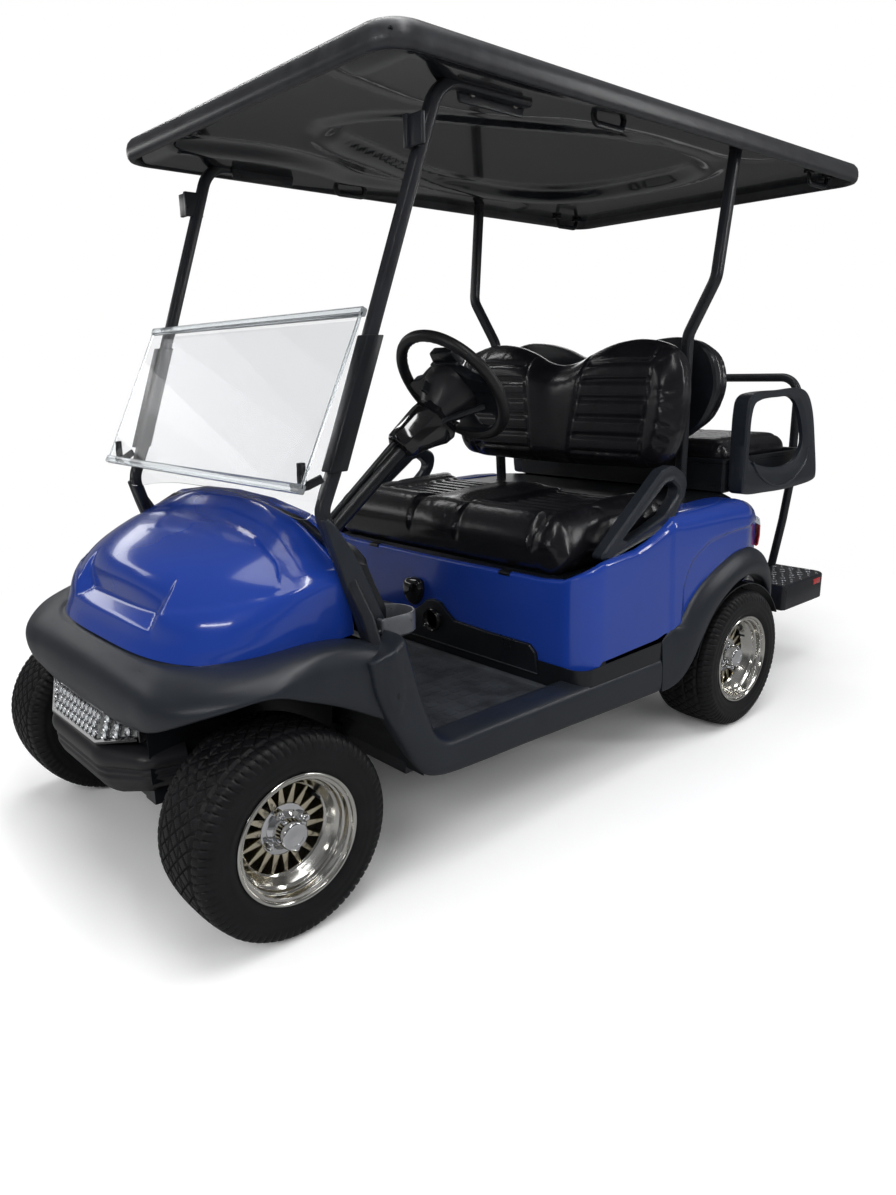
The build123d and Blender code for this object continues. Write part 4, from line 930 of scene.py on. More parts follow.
def soften(name, shape, cap, floor_z=None):
    """Points and faces of a pad after a short pressure run of the cloth solver; no point moves beyond cap."""
    obj = mesh_object(name, *shape)
    grid = obj.modifiers.new("grid", "REMESH")
    grid.mode, grid.voxel_size = "VOXEL", VOXEL / 1000
    even_out = obj.modifiers.new("even", "SMOOTH")
    even_out.factor, even_out.iterations = 0.5, 4
    settle(obj)
    start = np.array([v.co for v in obj.data.vertices])
    cloth = obj.modifiers.new("swell", "CLOTH")
    for setting, value in CLOTH.items():
        setattr(cloth.settings, setting, value)
    cloth.settings.effector_weights.gravity = 0
    cloth.collision_settings.use_collision = False
    cloth.point_cache.frame_start, cloth.point_cache.frame_end = 1, SWELL_FRAMES
    for step in range(1, SWELL_FRAMES + 1):
        bpy.context.scene.frame_set(step)
    shown = obj.evaluated_get(bpy.context.evaluated_depsgraph_get())
    final = np.array([v.co for v in shown.data.vertices])
    obj.modifiers.clear()
    bpy.context.scene.frame_set(1)
    push = final - start
    size = np.linalg.norm(push, axis=1)
    push *= np.minimum(1, cap / 1000 / np.maximum(size, 1e-9))[:, None]
    start = start + push
    points = start * 1000 + np.array([0, MID_Y, 0])
    if floor_z is not None:
        points[:, 2] = np.maximum(points[:, 2], floor_z)
    faces = [tuple(face.vertices) for face in obj.data.polygons]
    bpy.data.objects.remove(obj)
    return points, faces


def facing(points, faces):
    """Unit normals at the points."""
    normals = np.zeros_like(points)
    for size in (3, 4):
        some = np.array([face for face in faces if len(face) == size])
        if len(some):
            a, b, c = (points[some[:, k]] for k in range(3))
            cross = np.cross(b - a, c - a)
            for k in range(size):
                np.add.at(normals, some[:, k], cross)
    return normals / np.maximum(np.linalg.norm(normals, axis=1), 1e-9)[:, None]


def groove(distance, width, depth):
    return depth * np.exp(-(np.asarray(distance) / width) ** 2)


def wrinkles(points, seed, length, height):
    """Small smooth folds from a few sine waves in fixed directions."""
    rng = np.random.RandomState(seed)
    total = np.zeros(len(points))
    for _ in range(9):
        way = rng.normal(size=3)
        way /= np.linalg.norm(way)
        total += np.sin(points @ way / length * rng.uniform(0.6, 1.7) + rng.uniform(0, 2 * pi))
    return total / 3 * height


SEAT_INSERT = (112, 392)
RIBS_BACK = [1172, 1115, 1058, 1001, 944, 890]


def carve_back(points, normals, front):
    """Seams between the middle panel, the ribbed inserts and the side pads, with the ribs' channels."""
    x, z = np.abs(points[:, 0]), points[:, 2]
    facing_you = ramp(normals[:, 1] * front, 0.15, 0.5)
    inner = SEAT_INSERT[0] - 28 + 42 * ramp(z, 850, 1220)
    outer = SEAT_INSERT[1] - 22 + 22 * ramp(z, 850, 1180)
    inset = ramp(x, inner, inner + 16) * (1 - ramp(x, outer - 16, outer))
    cut = groove(x - inner, 5, 8) + groove(x - outer, 5, 8)
    for rib in RIBS_BACK:
        cut = cut + inset * groove(z - rib, 7, 9)
    cut = cut + inset * 3
    plump = 8 * ramp(x, outer + 4, outer + 50) * (1 - ramp(x, 462, 500))
    valley = 9 * np.exp(-(x / 70) ** 2)
    return points + normals * ((plump - cut - valley) * facing_you)[:, None]


def carve_cushion(points, normals):
    x, y = np.abs(points[:, 0]), points[:, 1]
    up = ramp(normals[:, 2] - 0.3 * normals[:, 1], 0.1, 0.45)
    inner, outer = 104 + 26 * ramp(y, 900, 1150), 404 - 34 * ramp(y, 940, 1250)
    inset = ramp(x, inner, inner + 18) * (1 - ramp(x, outer - 18, outer))
    cut = groove(x - inner, 5, 9) + groove(x - outer, 5, 9)
    for k in range(9):
        cut = cut + inset * groove(y - 1012 - 41 * k, 6, 7) * ramp(y, 985, 1010)
    dish = 10 * inset * ramp(y, 970, 1060)
    roll = 12 * np.exp(-((y - 935) / 55) ** 2) * inset
    pad = 9 * ramp(x, outer + 5, outer + 45) * (1 - ramp(x, 470, 500)) + 10 * np.exp(-(x / 75) ** 2)
    return points + normals * ((roll + pad - cut - dish) * up)[:, None]


def ring_of(points, count):
    """Closed outline as that many points at equal spacing."""
    return [tuple(p) for p in even([*points, points[0]], count)[:-1]]


def cushion(name, points, faces, stands_for, body="chassis"):
    add(name, (points, faces), "black_vinyl", body, [stands_for], crease=80)


def backrest(name, half, front, near, far, soft, crown, cap):
    """Upright pad over a mirrored outline (x, z), sewn on the side that faces the given way along y."""
    outline = ring_of(flow(half + [(-x, z) for x, z in half[-2:0:-1]], 5, closed=True), 200)
    rows = [[(x, y * front, z) for x, z, y in row] for row in pillow(outline, near, far, soft, crown=crown)]
    points, faces = soften(name, solid(rows), cap)
    if front < 0:
        points[:, 1] += 26 * (points[:, 2] - 1030) / 400
    points = carve_back(points, facing(points, faces), front)
    cushion(name, points, faces, name.replace("_backrest", "_seat_back"))
    return outline


def make_seats():
    rows = [[(x, y, z + (12 * float(ramp(y, 900, 1350)) - 10) * float(ramp(z, 640, 760))) for x, y, z in row]
            for row in pillow(ring_of(rounded(-506, 506, 862, 1396, [46, 46, 40, 40], 8), 180), 603, 768, 62)]
    points, faces = soften("front_cushion", solid(rows), 12, 603)
    points = carve_cushion(points, facing(points, faces))
    low = (ramp(np.abs(points[:, 0]), 440, 515) * (1 - ramp(points[:, 1], 890, 1010))
           * (1 - ramp(points[:, 2], 640, 720)))
    points += np.column_stack([24 * np.sign(points[:, 0]) * low, 0 * low, 8 * low])
    side = ramp(np.abs(points[:, 0]), 440, 490)
    points += facing(points, faces) * (side * wrinkles(points, 4, 17, 1.6))[:, None]
    cushion("front_cushion", points, faces, "front_seat_cushion", "front_seat")
    backrest("front_backrest", [(0, 828), (250, 832), (400, 842), (452, 872), (482, 940), (496, 1040),
                                (493, 1110), (478, 1170), (442, 1212), (380, 1237), (302, 1247), (220, 1240),
                                (140, 1217), (70, 1188), (0, 1176)], -1, -1534, -1424, 58, 0.12, 12)
    outline = backrest("rear_backrest", [(0, 905), (230, 908), (350, 925), (420, 975), (462, 1060),
                                         (466, 1110), (445, 1180), (400, 1225), (326, 1245), (230, 1240),
                                         (150, 1222), (70, 1192), (0, 1180)], 1, 1668, 1756, 48, 0.1, 10)
    shell = [[(x * k, y, 1080 + (z - 1080) * k) for x, z in outline]
             for k, y in ((0.90, 1652), (0.985, 1654), (1.0, 1662), (1.0, 1684), (0.985, 1690))]
    add("rear_back_shell", solid(shell), "trim_black", crease=40)
    plan = ring_of(rounded(-434, 434, 1782, 2262, [40, 40, 60, 60], 8), 180)
    points, faces = soften("rear_cushion", solid(pillow(plan, 813, 908, 46)), 9, 812.5)
    normals = facing(points, faces)
    x, y = np.abs(points[:, 0]), points[:, 1]
    cut = groove(x - 110, 5, 6) + groove(x - 390, 5, 6)
    for k in range(7):
        cut = cut + groove(y - 1850 - 42 * k, 6, 5) * ramp(x, 112, 128) * (1 - ramp(x, 372, 388))
    cushion("rear_cushion", points - normals * (cut * ramp(normals[:, 2], 0.3, 0.7))[:, None], faces,
            "rear_seat_cushion")


# ---------------------------------------------------------------- hand loops, rear seat and foot plate
HIP_OUTER = [(950, 664), (1223, 875), (1280, 884), (1350, 848), (1345, 800), (1272, 703), (1172, 690),
             (985, 651)]
HIP_OUTER_R = [10, 55, 46, 40, 80, 40, 60, 12]
HIP_INNER = [(1046, 702), (1244, 836), (1277, 838), (1308, 816), (1302, 792), (1244, 744), (1165, 719),
             (1074, 693)]
HIP_INNER_R = [8, 30, 16, 16, 40, 22, 100, 8]


def plate_with_hole(outer, inner, x0, x1, dish=0):
    """Loop between two outlines with equal numbers of points, across X: eased edges, dished face."""
    inner, outer = np.array(inner), np.array(outer)
    inset_in, inset_out = inner + (outer - inner) * 0.14, outer + (inner - outer) * 0.14
    loops = ((x0 + 6, inner), (x1 - 6, inner), (x1, inset_in), (x1 - dish, inset_in * 0.7 + inset_out * 0.3),
             (x1 - dish, inset_in * 0.3 + inset_out * 0.7), (x1, inset_out), (x1 - 6, outer), (x0 + 6, outer),
             (x0, inset_out), (x0, inset_in))
    return loft([[(x, *p) for p in loop] for x, loop in loops], wrap=True, join=True)


def make_hip_loops():
    outer, inner = (np.array(arc_corners(*pair, 8)) + [15, 0]
                    for pair in ((HIP_OUTER, HIP_OUTER_R), (HIP_INNER, HIP_INNER_R)))
    add("hip_loops", both(plate_with_hole(outer, inner, 530, 572, dish=3)), "moulded_grey",
        stands_for=["hip_rails"], crease=35)


# Arm: outer and inner outline, point by point.
ARM_OUTER = [(1780, 764), (1786, 748), (1945, 735), (2130, 734), (2300, 752), (2306, 766), (2281, 871),
             (2236, 1000), (2191, 1054), (2130, 1075), (1980, 1073), (1834, 1068), (1790, 1050), (1779, 1005),
             (1779, 880)]
ARM_INNER = [(1806, 868), (1814, 856), (1900, 828), (2040, 814), (2120, 826), (2150, 842), (2178, 886),
             (2158, 960), (2116, 1018), (2066, 1047), (1970, 1050), (1866, 1044), (1824, 1028), (1808, 990),
             (1805, 930)]


def make_rear_seat_kit():
    outer, inner = flow(ARM_OUTER, 8, closed=True), flow(ARM_INNER, 8, closed=True)
    arm = plate_with_hole(outer, inner, 460, 517)
    arm = [(x + (32 * float(ramp(y, 1810, 1890)) if x < 490 else 0), y, z) for x, y, z in arm[0]], arm[1]
    low = [(1830, 846), (1874, 804), (1949, 766), (2032, 751), (2122, 767), (2205, 822), (2219, 866)]
    crescent = sweep([(517, y, z) for y, z in flow(low, 8)], round_section(4.5, 8), up=(1, 0, 0))
    add("rear_armrests", both(merge(arm, crescent)), "moulded_grey", stands_for=["rear_arms"], crease=32)
    tray = stacked(rounded(-456, 456, 1762, 2318, [12, 12, 30, 30], 4), (0, 2040), (456, 278),
                   ((10, 744), (0, 748), (0, 838), (3, 838), (3, 842), (0, 843), (0, 852), (4, 856),
                    (10, 854), (12, 848), (12, 812)))
    add("rear_tray", tray, "trim_black", stands_for=["rear_seat_base"], crease=35)


def make_foot_plate():
    plate = stacked(rounded(-484, 484, 2201, 2544, [20, 20, 50, 50], 8), (0, 2372.5), (484, 171.5),
                    ((9, 262), (2, 255), (0, 257), (0, 347), (3, 351), (8, 352), (14, 351.2)), lid=True)
    add("step_plate", plate, "powder_black", stands_for=["foot_plate"], crease=40)
    studs = []
    for i in range(27):
        for j in range(10):
            x, y = -468 + 36 * i + (18 if j % 2 else 0), 2218 + 34 * j
            if abs(x) > 470 or (abs(x) > 450 and y > 2520) or not 2212 < y < 2536:
                continue
            turn = radians(45 if (i + j) % 2 else -45)
            c, s = cos(turn), sin(turn)
            stud = [(13 * cos(a), 4.6 * sin(a)) for a in np.linspace(0, 2 * pi, 11)[:-1]]
            rows = [[(x + (u * c - v * s) * k, y + (u * s + v * c) * k, z) for u, v in stud]
                    for k, z in ((1.0, 350.9), (0.8, 353.4), (0.45, 354.2))]
            studs.append(solid(rows))
    add("step_tread", merge(*studs), "tread_metal", crease=50)
    add("step_reflectors", both(prism("x", rounded(2432, 2488, 318, 340, 3, 3), 483.5, 486)), "red_lens",
        bevel=0.8)


# ---------------------------------------------------------------- cabin
def make_dash():
    face = [(206, 872), (236, 864), (292, 806), (318, 745), (330, 690), (326, 640), (316, 606), (266, 606),
            (252, 700), (206, 850)]
    face = arc_corners(face, [6, 20, 30, 30, 30, 30, 12, 6, 10, 6], 5)
    stations = [0, 90, 180, 260, 320, 370, 410, 440, 462, 474]
    rows = [[(x, y - 46 * float(ramp(x, 400, 470) * ramp(y, 240, 300) * ramp(z, 610, 730)),
              745 + (z - 745) * (dash_height(x) - 749) / 129 if z > 745 else z) for y, z in face]
            for x in stations[:0:-1] + stations]
    rows = [[(-x if k < len(stations) - 1 else x, y, z) for x, y, z in row] for k, row in enumerate(rows)]
    add("dash_face", solid(rows), "trim_black", stands_for=["dash_panel"], crease=50)
    side = [(176, 852), (206, 808), (240, 752), (274, 676), (300, 616), (320, 576), (250, 560), (225, 640),
            (196, 720), (170, 800), (150, 872)]
    add("dash_ends", both(prism("x", arc_corners(side, 16, 4), 474, 500)), "moulded_grey", bevel=7)
    tray = stacked(rounded(408, 520, 272, 394, [6, 6, 52, 52], 8), (464, 340), (56, 61),
                   ((6, 580), (0, 586), (0, 627), (2.5, 630), (6, 630), (8, 627), (9, 592)))
    add("cup_trays", both(tray), "tray_grey", crease=40)


# Middle of the steering wheel; slope of its column, and lean of its own plane.
HUB_X, HUB_Y, HUB_Z = 240, 745, 1112
COLUMN_TILT, WHEEL_TILT = radians(38.0), radians(38.5)


def column_spot(down, up=0.0, side=0.0):
    """Point beside the column: down along it from the wheel, up across it."""
    c, s = cos(COLUMN_TILT), sin(COLUMN_TILT)
    return (HUB_X + side, HUB_Y - down * c - up * s, HUB_Z - down * s + up * c)


def make_column():
    tube, rod = (sweep([(HUB_X, y, z) for y, z in path], round_section(*size), up=(1, 0, 0))
                 for path, size in ((((690, 1056), (361, 801), (300, 754)), (20, 24)),
                                    (((552, 987), (340, 814), (300, 781)), (6.5, 12))))
    add("column_tubes", merge(tube, rod), "trim_black", stands_for=["steering_column"], crease=40)
    rows = []
    for down, half, top, low in ((66, 26, 14, -52), (74, 36, 24, -80), (95, 41, 34, -90), (125, 43, 38, -84),
                                 (160, 42, 38, -64), (198, 39, 38, -46), (230, 34, 38, -34),
                                 (238, 28, 34, -28), (240, 22, 30, -22)):
        outline = arc_corners([(-half, low * 0.3), (-half * 0.8, low), (half * 0.8, low), (half, low * 0.3),
                               (half, top * 0.25), (half * 0.42, top), (-half * 0.42, top),
                               (-half, top * 0.25)], [8, 12, 12, 8, 5, 4, 4, 5], 3)
        rows.append([column_spot(down, v, u) for u, v in outline])
    add("column_shroud", solid(rows), "gloss_black")
    # Thin matte black plate in the shroud's slot: painted shade of the opening.
    add("column_slot_shade", prism("x", [(548, 1006), (590, 1040), (594, 1036), (552, 1002)], 226, 232),
        "trim_black")
    path = flow([(262, 660, 1019), (276, 682, 1029), (310, 722, 1046), (342, 763, 1063)], 5)
    stick = sweep(path, round_section(9, 14), up=(0, 0, 1),
                  scales=np.interp(range(16), [0, 3, 15], [1.3, 0.85, 1.12]))
    ball = sweep([(262, 656, 1018), (269, 670, 1024), (277, 684, 1030)], round_section(14, 14), up=(0, 0, 1),
                 scales=[0.7, 1.0, 0.7])
    ear = sweep([column_spot(70, 20, 0), column_spot(64, 44, -4), column_spot(70, 62, -8)],
                square_section(30, 12, 4), up=(1, 0, 0))
    add("column_lever", merge(stick, ball, ear), "trim_black", crease=50)


def on_wheel(u, v, w=0.0):
    """Point in the steering wheel's plane: u across, v up the plane, w towards the driver."""
    c, s = cos(WHEEL_TILT), sin(WHEEL_TILT)
    return (HUB_X + u, HUB_Y - v * s + w * c, HUB_Z + v * c + w * s)


def pierced(outline, holes, place, low, high):
    """Plate of an outline with holes, between two stations; place() carries its (u, v, w) to the spot."""
    loops = [[Vector((float(u), float(v), 0)) for u, v in loop] for loop in [outline, *holes]]
    flat = [p for loop in loops for p in loop]
    tris = tessellate_polygon(loops)
    verts = [place(p.x, p.y, w) for w in (low, high) for p in flat]
    count = len(flat)
    faces = [tuple(t) for t in tris] + [tuple(i + count for i in reversed(t)) for t in tris]
    base = 0
    for loop in loops:
        size = len(loop)
        faces += [(base + i, base + (i + 1) % size, base + (i + 1) % size + count, base + i + count)
                  for i in range(size)]
        base += size
    return verts, faces


RIM_R, GRIP_R = 162, 15


def make_steering_wheel():
    ring, sections = [], 132
    for k in range(sections):
        angle = 2 * pi * k / sections
        ridged = 0.06 * cos(44 * angle) if 0.53 * pi < angle < 0.9 * pi or 0.1 * pi < angle < 0.47 * pi else 0
        row = []
        for b in np.linspace(0, 2 * pi, 17)[:-1]:
            inner = 1 + ridged * (cos(b) < 0)
            out = RIM_R + GRIP_R * inner * cos(b)
            row.append(on_wheel(out * cos(angle), out * sin(angle), GRIP_R * sin(b)))
        ring.append(row)
    add("wheel_rim_grip", loft(ring, wrap=True, join=True), "grip_rubber", "steering_wheel",
        ["steering_wheel"])
    half = [(0, 63), (43, 60), (70, 50), (104, 32), (140, 22), (158, 4), (150, -14), (120, -20), (80, -22),
            (40, -14), (0, -4)]
    outline = flow(half[1:] + [(-u, v) for u, v in half[-2:0:-1]], 4, closed=True)
    rows = []
    for scale, w in ((0.9, -10), (0.97, -4), (1.0, 4), (0.995, 10), (0.97, 13), (0.9, 15)):
        rows.append([on_wheel(u * (scale if abs(u) < 110 else 1), 20 + (v - 20) * scale,
                              w + 10 * float(1 - ramp(abs(u), 20, 120))) for u, v in outline])
    add("wheel_wing", solid(rows), "trim_black", "steering_wheel", crease=45)
    web = [(158 * cos(a), 158 * sin(a)) for a in np.linspace(radians(-4), radians(-176), 40)]
    web += [(-90, 14), (-40, 6), (40, 6), (90, 14)]
    hole = arc_corners([(34, -78), (112, -78), (104, -104), (66, -130), (36, -116)], [8, 14, 22, 22, 22], 5)
    holes = [[(u, v) for u, v in hole], [(-u, v) for u, v in hole[::-1]]]
    add("wheel_web", pierced(web, holes, on_wheel, -9, -3), "trim_black", "steering_wheel", bevel=1.5)
    bowl = [(2, 84), (-6, 86), (-20, 84), (-44, 74), (-70, 58), (-90, 46), (-102, 38), (-106, 20),
            (-106, 0.01)]
    turn = np.column_stack([np.array(on_wheel(0, 0, 1)) - on_wheel(0, 0), (1, 0, 0),
                            np.array(on_wheel(0, 1, 0)) - on_wheel(0, 0)])
    shape = moved(lathe([(x, r * 0.92) for x, r in bowl], 56), turn, on_wheel(0, -8))
    add("wheel_bowl", shape, "bumper_black", "steering_wheel", crease=60)
    base = arc_corners([(-58, 40), (58, 40), (50, 66), (-50, 66)], 8, 4)
    clip = arc_corners([(-52, 44), (52, 44), (42, 94), (-42, 94)], 9, 4)
    pad = [solid([[on_wheel(u, v, w) for u, v in loop] for w in span])
           for loop, span in ((base, (10, 27)), (clip, (20, 44)))]
    add("wheel_clip", merge(*pad), "trim_black", "steering_wheel", bevel=4)


def make_kick_panel():
    """Black insert on the seat base's front wall, with the direction knob, the charge socket and a strip."""
    top = [(-440, 330), (440, 330), (428, 392), (404, 412), (240, 413), (96, 418), (62, 440), (36, 462),
           (5, 468), (-26, 462), (-52, 440), (-86, 418), (-240, 413), (-404, 412), (-428, 392)]
    outline = arc_corners(top, [4, 4, 20, 14, 60, 24, 20, 20, 20, 20, 20, 24, 60, 14, 20], 5)
    add("kick_insert", prism("y", outline, 868, 884), "trim_black", stands_for=["kick_panel"], bevel=4)
    base = arc_corners([(0, 873), (594, 873), (594, 1236)], [0, 46, 0], 10, closed=False)
    rows = [[(x, y, z) for x, y in base] for z in (303, 352, 372)]
    add("base_skirt", both(loft(rows)), "trim_black", wall=3)
    line = prism("y", [(-440, 334), (440, 334), (440, 335.6), (-440, 335.6)], 866.5, 868.5)
    add("light_strip", line, "tray_grey")
    knob = flow([(-89, 518), (-58, 512), (-52, 486), (-64, 456), (-89, 438), (-114, 456), (-126, 486),
                 (-120, 512)], 5, closed=True)
    rows = [[(-89 + (x + 89) * k, y, 484 + (z - 484) * k) for x, z in knob]
            for k, y in ((1.12, 881), (1.14, 872), (1.04, 860), (0.8, 850), (0.45, 846))]
    add("direction_knob", solid(rows), "gloss_black", stands_for=["shift_knob"], crease=60)
    socket = lathe([(0, 0.01), (0, 24), (6, 25), (12, 30), (15, 33), (12, 36), (0, 37)], 40)
    turn = [[0, 1, 0], [-1, 0, 0], [0, 0, 1]]
    add("charge_socket", moved(socket, turn, (5, 868, 404)), "gloss_black", stands_for=["charge_port"],
        crease=50)


def make_mat():
    """Rubber mat with a raised border and a field of shallow pips."""
    sheet = stacked(rounded(-503, 503, 356, 870, 26, 6), (0, 613), (503, 257),
                    ((0, 298.5), (0, 306), (3, 309), (12, 309), (17, 306), (24, 303.5)), lid=True)
    pips = [prism("z", rounded(x - 13, x + 13, y - 15, y + 15, 5, 2), 303.3, 304.4)
            for x in (-460 + 36.8 * i for i in range(26)) for y in (396 + 39.5 * j for j in range(12))]
    add("footwell_mat", merge(sheet, *pips), "mat_rubber", stands_for=["floor_mat"], crease=40)
    sill = [(506, 300), (516, 300), (520, 318), (530, 326), (530, 300)]
    rows = [[(x, y, z) for x, z in sill] for y in (352, 1230)]
    add("sill_inners", both(solid(rows)), "trim_black")


# ---------------------------------------------------------------- windscreen
def pillar_y(z):
    return 199 + (z - 952) * (487 - 199) / (1731 - 952)


def make_screen():
    across = [[(-487, 109, 929), (487, 109, 929)], [(-487, 273, 1268), (487, 273, 1268)]]
    lean = np.array([0, -0.9, 0.436]) * 5
    front = [[tuple(np.array(p) + lean) for p in row] for row in across]
    rows = [across[0], across[1], front[1], front[0]]
    add("screen_upper_pane", loft(rows, join=True, caps=True), "acrylic", stands_for=["windshield_upper"])
    half = flow([(0, 888), (170, 884), (300, 872), (400, 858), (448, 862), (460, 884)], 8)
    outline = [(-x, z) for x, z in half[:0:-1]] + [tuple(p) for p in half] + [(460, 1255), (-460, 1255)]
    rows = [[(x, pillar_y(z) - 20 - d, z) for x, z in outline] for d in (0, 5)]
    add("screen_lower_pane", solid(rows), "acrylic", stands_for=["windshield_lower"])
    rails = [sweep([(-490, 276, 1271), (490, 276, 1271)], square_section(16, 18, 4), up=(0, 0.43, 0.9)),
             sweep([(-490, 106, 929), (490, 106, 929)], square_section(16, 20, 4), up=(0, 0.43, 0.9))]
    for side in (1, -1):
        rails.append(sweep([(side * 487, 107, 931), (side * 487, 273, 1270)], square_section(6, 6, 1.5),
                           up=(1, 0, 0)))
    add("screen_rails", merge(*rails), "acrylic_edge", stands_for=["windshield_rails"])
    sleeves = []
    for side in (1, -1):
        section = arc_corners([(side * 455, -16), (side * 468, -25), (side * 499, -25), (side * 503, -6),
                               (side * 503, 18), (side * 460, 18)], 5, 3)
        rows = [[(x + side * (z - 1090) * 0.034 - side * 4, pillar_y(z) + off, z) for x, off in section]
                for z in (956, 1226)]
        sleeves.append(solid(rows))
        sleeves.append(prism("y", [(side * 452, 926), (side * 468, 926), (side * 468, 978),
                                   (side * 452, 978)], 120, 134))
        sleeves.append(sweep([(side * 470, 170, 944), (side * 458, 140, 930), (side * 440, 118, 924)],
                             square_section(18, 9, 3), up=(1, 0, 0)))
    add("screen_sleeves", merge(*sleeves), "trim_black", stands_for=["screen_channels"], bevel=2)


# ---------------------------------------------------------------- underneath
def make_shields():
    """Dark splash panels under the bonnet and behind the front wheels."""
    top = [(-125, 556), (60, 566), (240, 566), (300, 560)]
    rows = [[(x, y, z) for x in (-468, -250, 250, 468)] for y, z in top]
    wall = [[(262, y, z) for z in (300, 420, 560)] for y in (-170, 60, 300)]
    back = [[(x, 268 + (560 - z) * 0.25, z) for x in (262, 400, 560)] for z in (250, 400, 575)]
    add("splash_panels", merge(loft(rows), both(loft(wall)), both(loft(back))), "trim_black", wall=2)
    nose = [[(x, y, z) for x in (-262, 0, 262)]
            for y, z in ((-168, 560), (-170, 430), (-150, 300), (-60, 268), (200, 268))]
    add("nose_underside", loft(nose), "trim_black", wall=2)


def make_tail_lights():
    plan = arc_corners([(560, 1770), (540, 1850), (484, 1903), (430, 1950)], 40, 6, closed=False)
    plan = even(plan[3:], 12)
    rows = []
    for z, out in ((566, 2), (570, 8), (600, 12), (636, 11), (655, 7), (660, 1)):
        rows.append([(x + out * 0.6, y + out * 0.6, z) for x, y in plan[1:8]])
    red, clear = loft(rows[:4]), loft(rows[3:])
    add("tail_lenses", both(red), "red_lens", stands_for=["tail_lights"], wall=-4)
    add("tail_clears", both(clear), "lamp_clear", wall=-4)


def build():
    make_finishes()
    dress_cad_nodes()
    make_roof()
    make_pillars()
    make_bonnet()
    make_nose()
    make_lamp()
    make_wheels()
    make_sills()
    make_body()
    make_flares()
    make_seats()
    make_hip_loops()
    make_rear_seat_kit()
    make_foot_plate()
    make_dash()
    make_column()
    make_steering_wheel()
    make_kick_panel()
    make_mat()
    make_screen()
    make_shields()
    make_tail_lights()


# ---------------------------------------------------------------- stage
CAMERA_AT = (1949.3, -827.4, 1152.8)
CAMERA_AZIMUTH, CAMERA_ELEVATION, CAMERA_ROLL = 47.864, 14.768, -0.949
FOCAL_PX, FRAME_H = 860.09, 1195
STUDIO_LIGHT, STUDIO_MIRRORED = 0.38, 0.24
SENSOR_MM = 36
FLOOR_HALF = 14000


def make_camera():
    az, el, roll = radians(CAMERA_AZIMUTH), radians(CAMERA_ELEVATION), radians(CAMERA_ROLL)
    back = Vector((sin(az) * cos(el), -cos(az) * cos(el), sin(el)))
    right = (-back).cross(Vector((0, 0, 1))).normalized()
    up = right.cross(-back)
    side = cos(roll) * right + sin(roll) * up
    top = -sin(roll) * right + cos(roll) * up
    data = bpy.data.cameras.new("camera")
    data.sensor_width = SENSOR_MM
    data.lens = SENSOR_MM * FOCAL_PX / FRAME_H
    data.clip_end = 60
    camera = new_object("camera", data)
    turn = Matrix((side, top, back)).transposed()
    camera.matrix_world = Matrix.Translation(at(*CAMERA_AT)) @ turn.to_4x4()
    bpy.context.scene.camera = camera


def calc(tree, kind, *values):
    """Result of a Math node; each value is a number or a socket."""
    made = node(tree, "Math", **{f"v{k}": value for k, value in enumerate(values)})
    made.operation = kind
    return made.outputs[0]


def blended(tree, share, first, second):
    """Two shaders' outputs mixed: the second one's share is given."""
    return node(tree, "MixShader", Fac=share, v1=first.outputs[0], v2=second.outputs[0])


def ray_kinds(tree):
    """Two sockets: 1 for a ray straight from the camera, also through glass, and 1 for a mirrored one."""
    path = node(tree, "LightPath")
    mirrored = calc(tree, "GREATER_THAN", path.outputs["Glossy Depth"], 0.5)
    bounced = calc(tree, "MAXIMUM", calc(tree, "GREATER_THAN", path.outputs["Diffuse Depth"], 0.5), mirrored)
    through = calc(tree, "MULTIPLY", path.outputs["Is Transmission Ray"],
                   calc(tree, "SUBTRACT", 1.0, bounced))
    return calc(tree, "MAXIMUM", path.outputs["Is Camera Ray"], through), mirrored


def make_world():
    """White behind the object; a dimmer studio, palest near the horizon, lights it and shows in its gloss."""
    world = bpy.data.worlds.new("studio")
    bpy.context.scene.world = world
    world.use_nodes = True
    tree = world.node_tree
    tree.nodes.clear()
    seen, mirrored = ray_kinds(tree)
    split = node(tree, "SeparateXYZ", Vector=node(tree, "TexCoord").outputs["Generated"])
    sky = node(tree, "ValToRGB", Fac=calc(tree, "MULTIPLY_ADD", split.outputs["Z"], 0.5, 0.5))
    for k, (place, grey) in enumerate([(0.0, 0.50), (0.50, 0.95), (0.58, 0.28), (0.75, 0.45), (1.0, 0.85)]):
        stop = sky.color_ramp.elements[k] if k < 2 else sky.color_ramp.elements.new(place)
        stop.position, stop.color = place, (grey, grey, grey * 1.02, 1)
    level = calc(tree, "MULTIPLY_ADD", mirrored, STUDIO_MIRRORED - STUDIO_LIGHT, STUDIO_LIGHT)
    dim = node(tree, "Background", Strength=level, Color=sky.outputs["Color"])
    white = node(tree, "Background", Color=(1, 1, 1, 1), Strength=1.0)
    node(tree, "OutputWorld", Surface=blended(tree, seen, dim, white).outputs[0])


def softbox(name, where, aim, width, height, power, mirrored=True):
    """Area lamp; one that is not mirrored lights surfaces without showing as a highlight in them."""
    data = bpy.data.lights.new(name, "AREA")
    data.shape, data.size, data.size_y, data.energy = "RECTANGLE", width, height, power
    lamp = new_object(name, data)
    place, target = at(*where), at(*aim)
    turn = (place - target).to_track_quat("Z", "Y").to_matrix()
    lamp.matrix_world = Matrix.Translation(place) @ turn.to_4x4()
    lamp.visible_glossy = mirrored


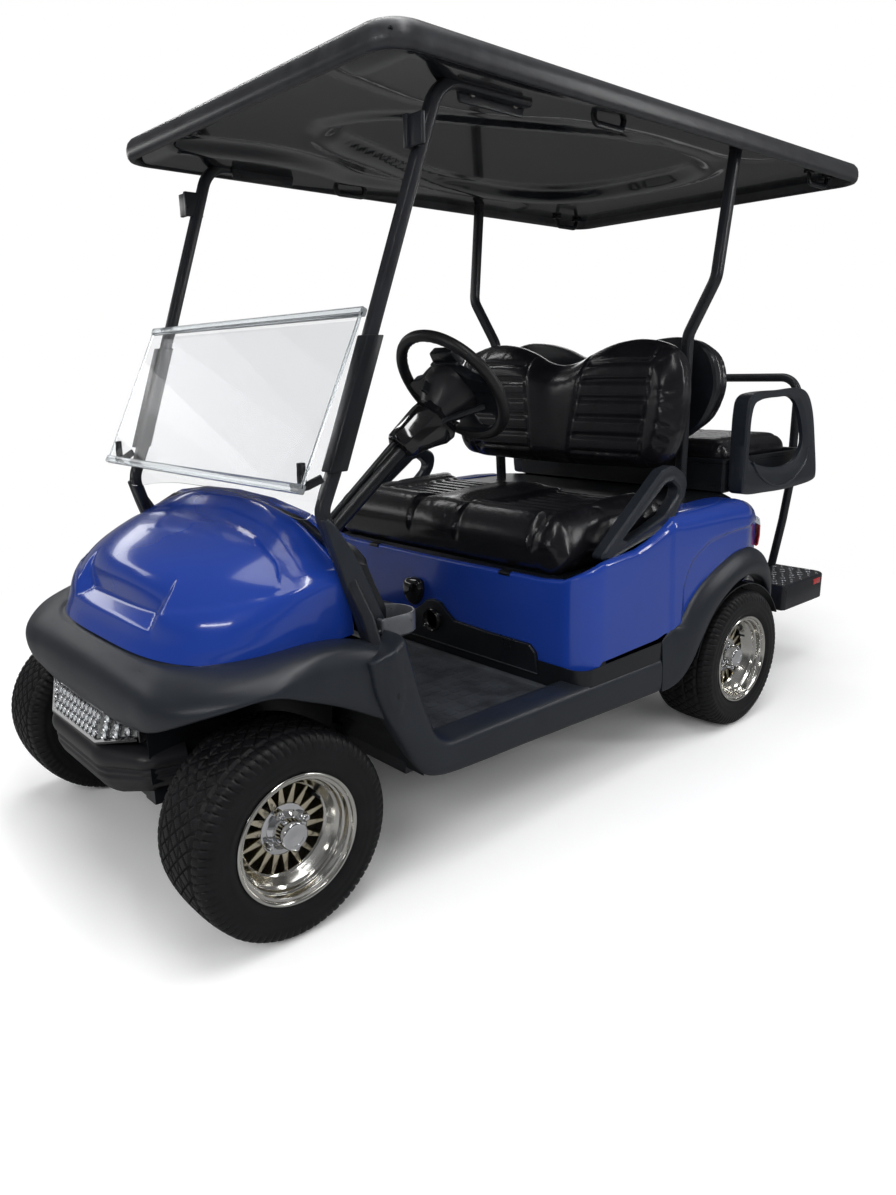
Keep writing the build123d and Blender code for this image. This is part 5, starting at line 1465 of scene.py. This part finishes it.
def make_lights():
    softbox("key", (2600, -3600, 3200), (0, 700, 700), 2.6, 2.0, 100, False)
    softbox("side", (4200, 900, 2000), (0, 1100, 700), 3.2, 1.6, 45, False)
    softbox("rear", (2500, 5200, 2800), (0, 1500, 800), 2.6, 1.6, 36, False)
    softbox("far", (-4200, -600, 2300), (0, 700, 700), 3.0, 1.4, 36, False)
    softbox("strip_far", (-4100, -700, 2200), (0, 700, 700), 3.6, 0.5, 13)
    softbox("far_rear", (-2800, 4800, 2300), (0, 1200, 700), 2.8, 0.9, 20)
    softbox("top", (0, 900, 5200), (0, 1000, 0), 4.0, 4.0, 100)
    softbox("tube_near", (1500, 300, 3600), (300, 900, 600), 0.18, 3.2, 26)
    softbox("tube_far", (-1300, 900, 3800), (0, 900, 600), 0.2, 3.6, 22)
    softbox("tube_front", (900, -3600, 2300), (0, 0, 700), 2.4, 0.22, 22)
    softbox("tube_rear", (2800, 3600, 2400), (0, 1400, 700), 0.25, 2.2, 22)


def make_floor():
    """Ground that is lit near the object, where it keeps the shadow, and plain white further out."""
    corners = [(x * FLOOR_HALF, y * FLOOR_HALF, 0) for x, y in ((-1, -1), (1, -1), (1, 1), (-1, 1))]
    floor = mesh_object("floor", corners, [(0, 1, 2, 3)])
    material = bpy.data.materials.new("floor")
    material.use_nodes = True
    tree = material.node_tree
    tree.nodes.clear()
    seen, mirrored = ray_kinds(tree)
    bounce = node(tree, "BsdfDiffuse", Color=calc(tree, "MULTIPLY_ADD", mirrored, -0.2, 0.5))
    shown = node(tree, "BsdfDiffuse", Color=(1.1, 1.1, 1.1, 1))
    reach = node(tree, "VectorMath", v0=node(tree, "TexCoord").outputs["Object"])
    reach.operation = "LENGTH"
    far = node(tree, "MapRange", Value=reach.outputs["Value"], From_Min=1.5, From_Max=3.2, To_Min=0.0,
               To_Max=1.0)
    lit = blended(tree, far.outputs["Result"], shown, node(tree, "Emission", Strength=1.0))
    node(tree, "OutputMaterial", Surface=blended(tree, seen, bounce, lit).outputs[0])
    floor.data.materials.append(material)


build()
make_camera()
make_world()
make_lights()
make_floor()
bpy.context.scene.view_settings.view_transform = "Standard"
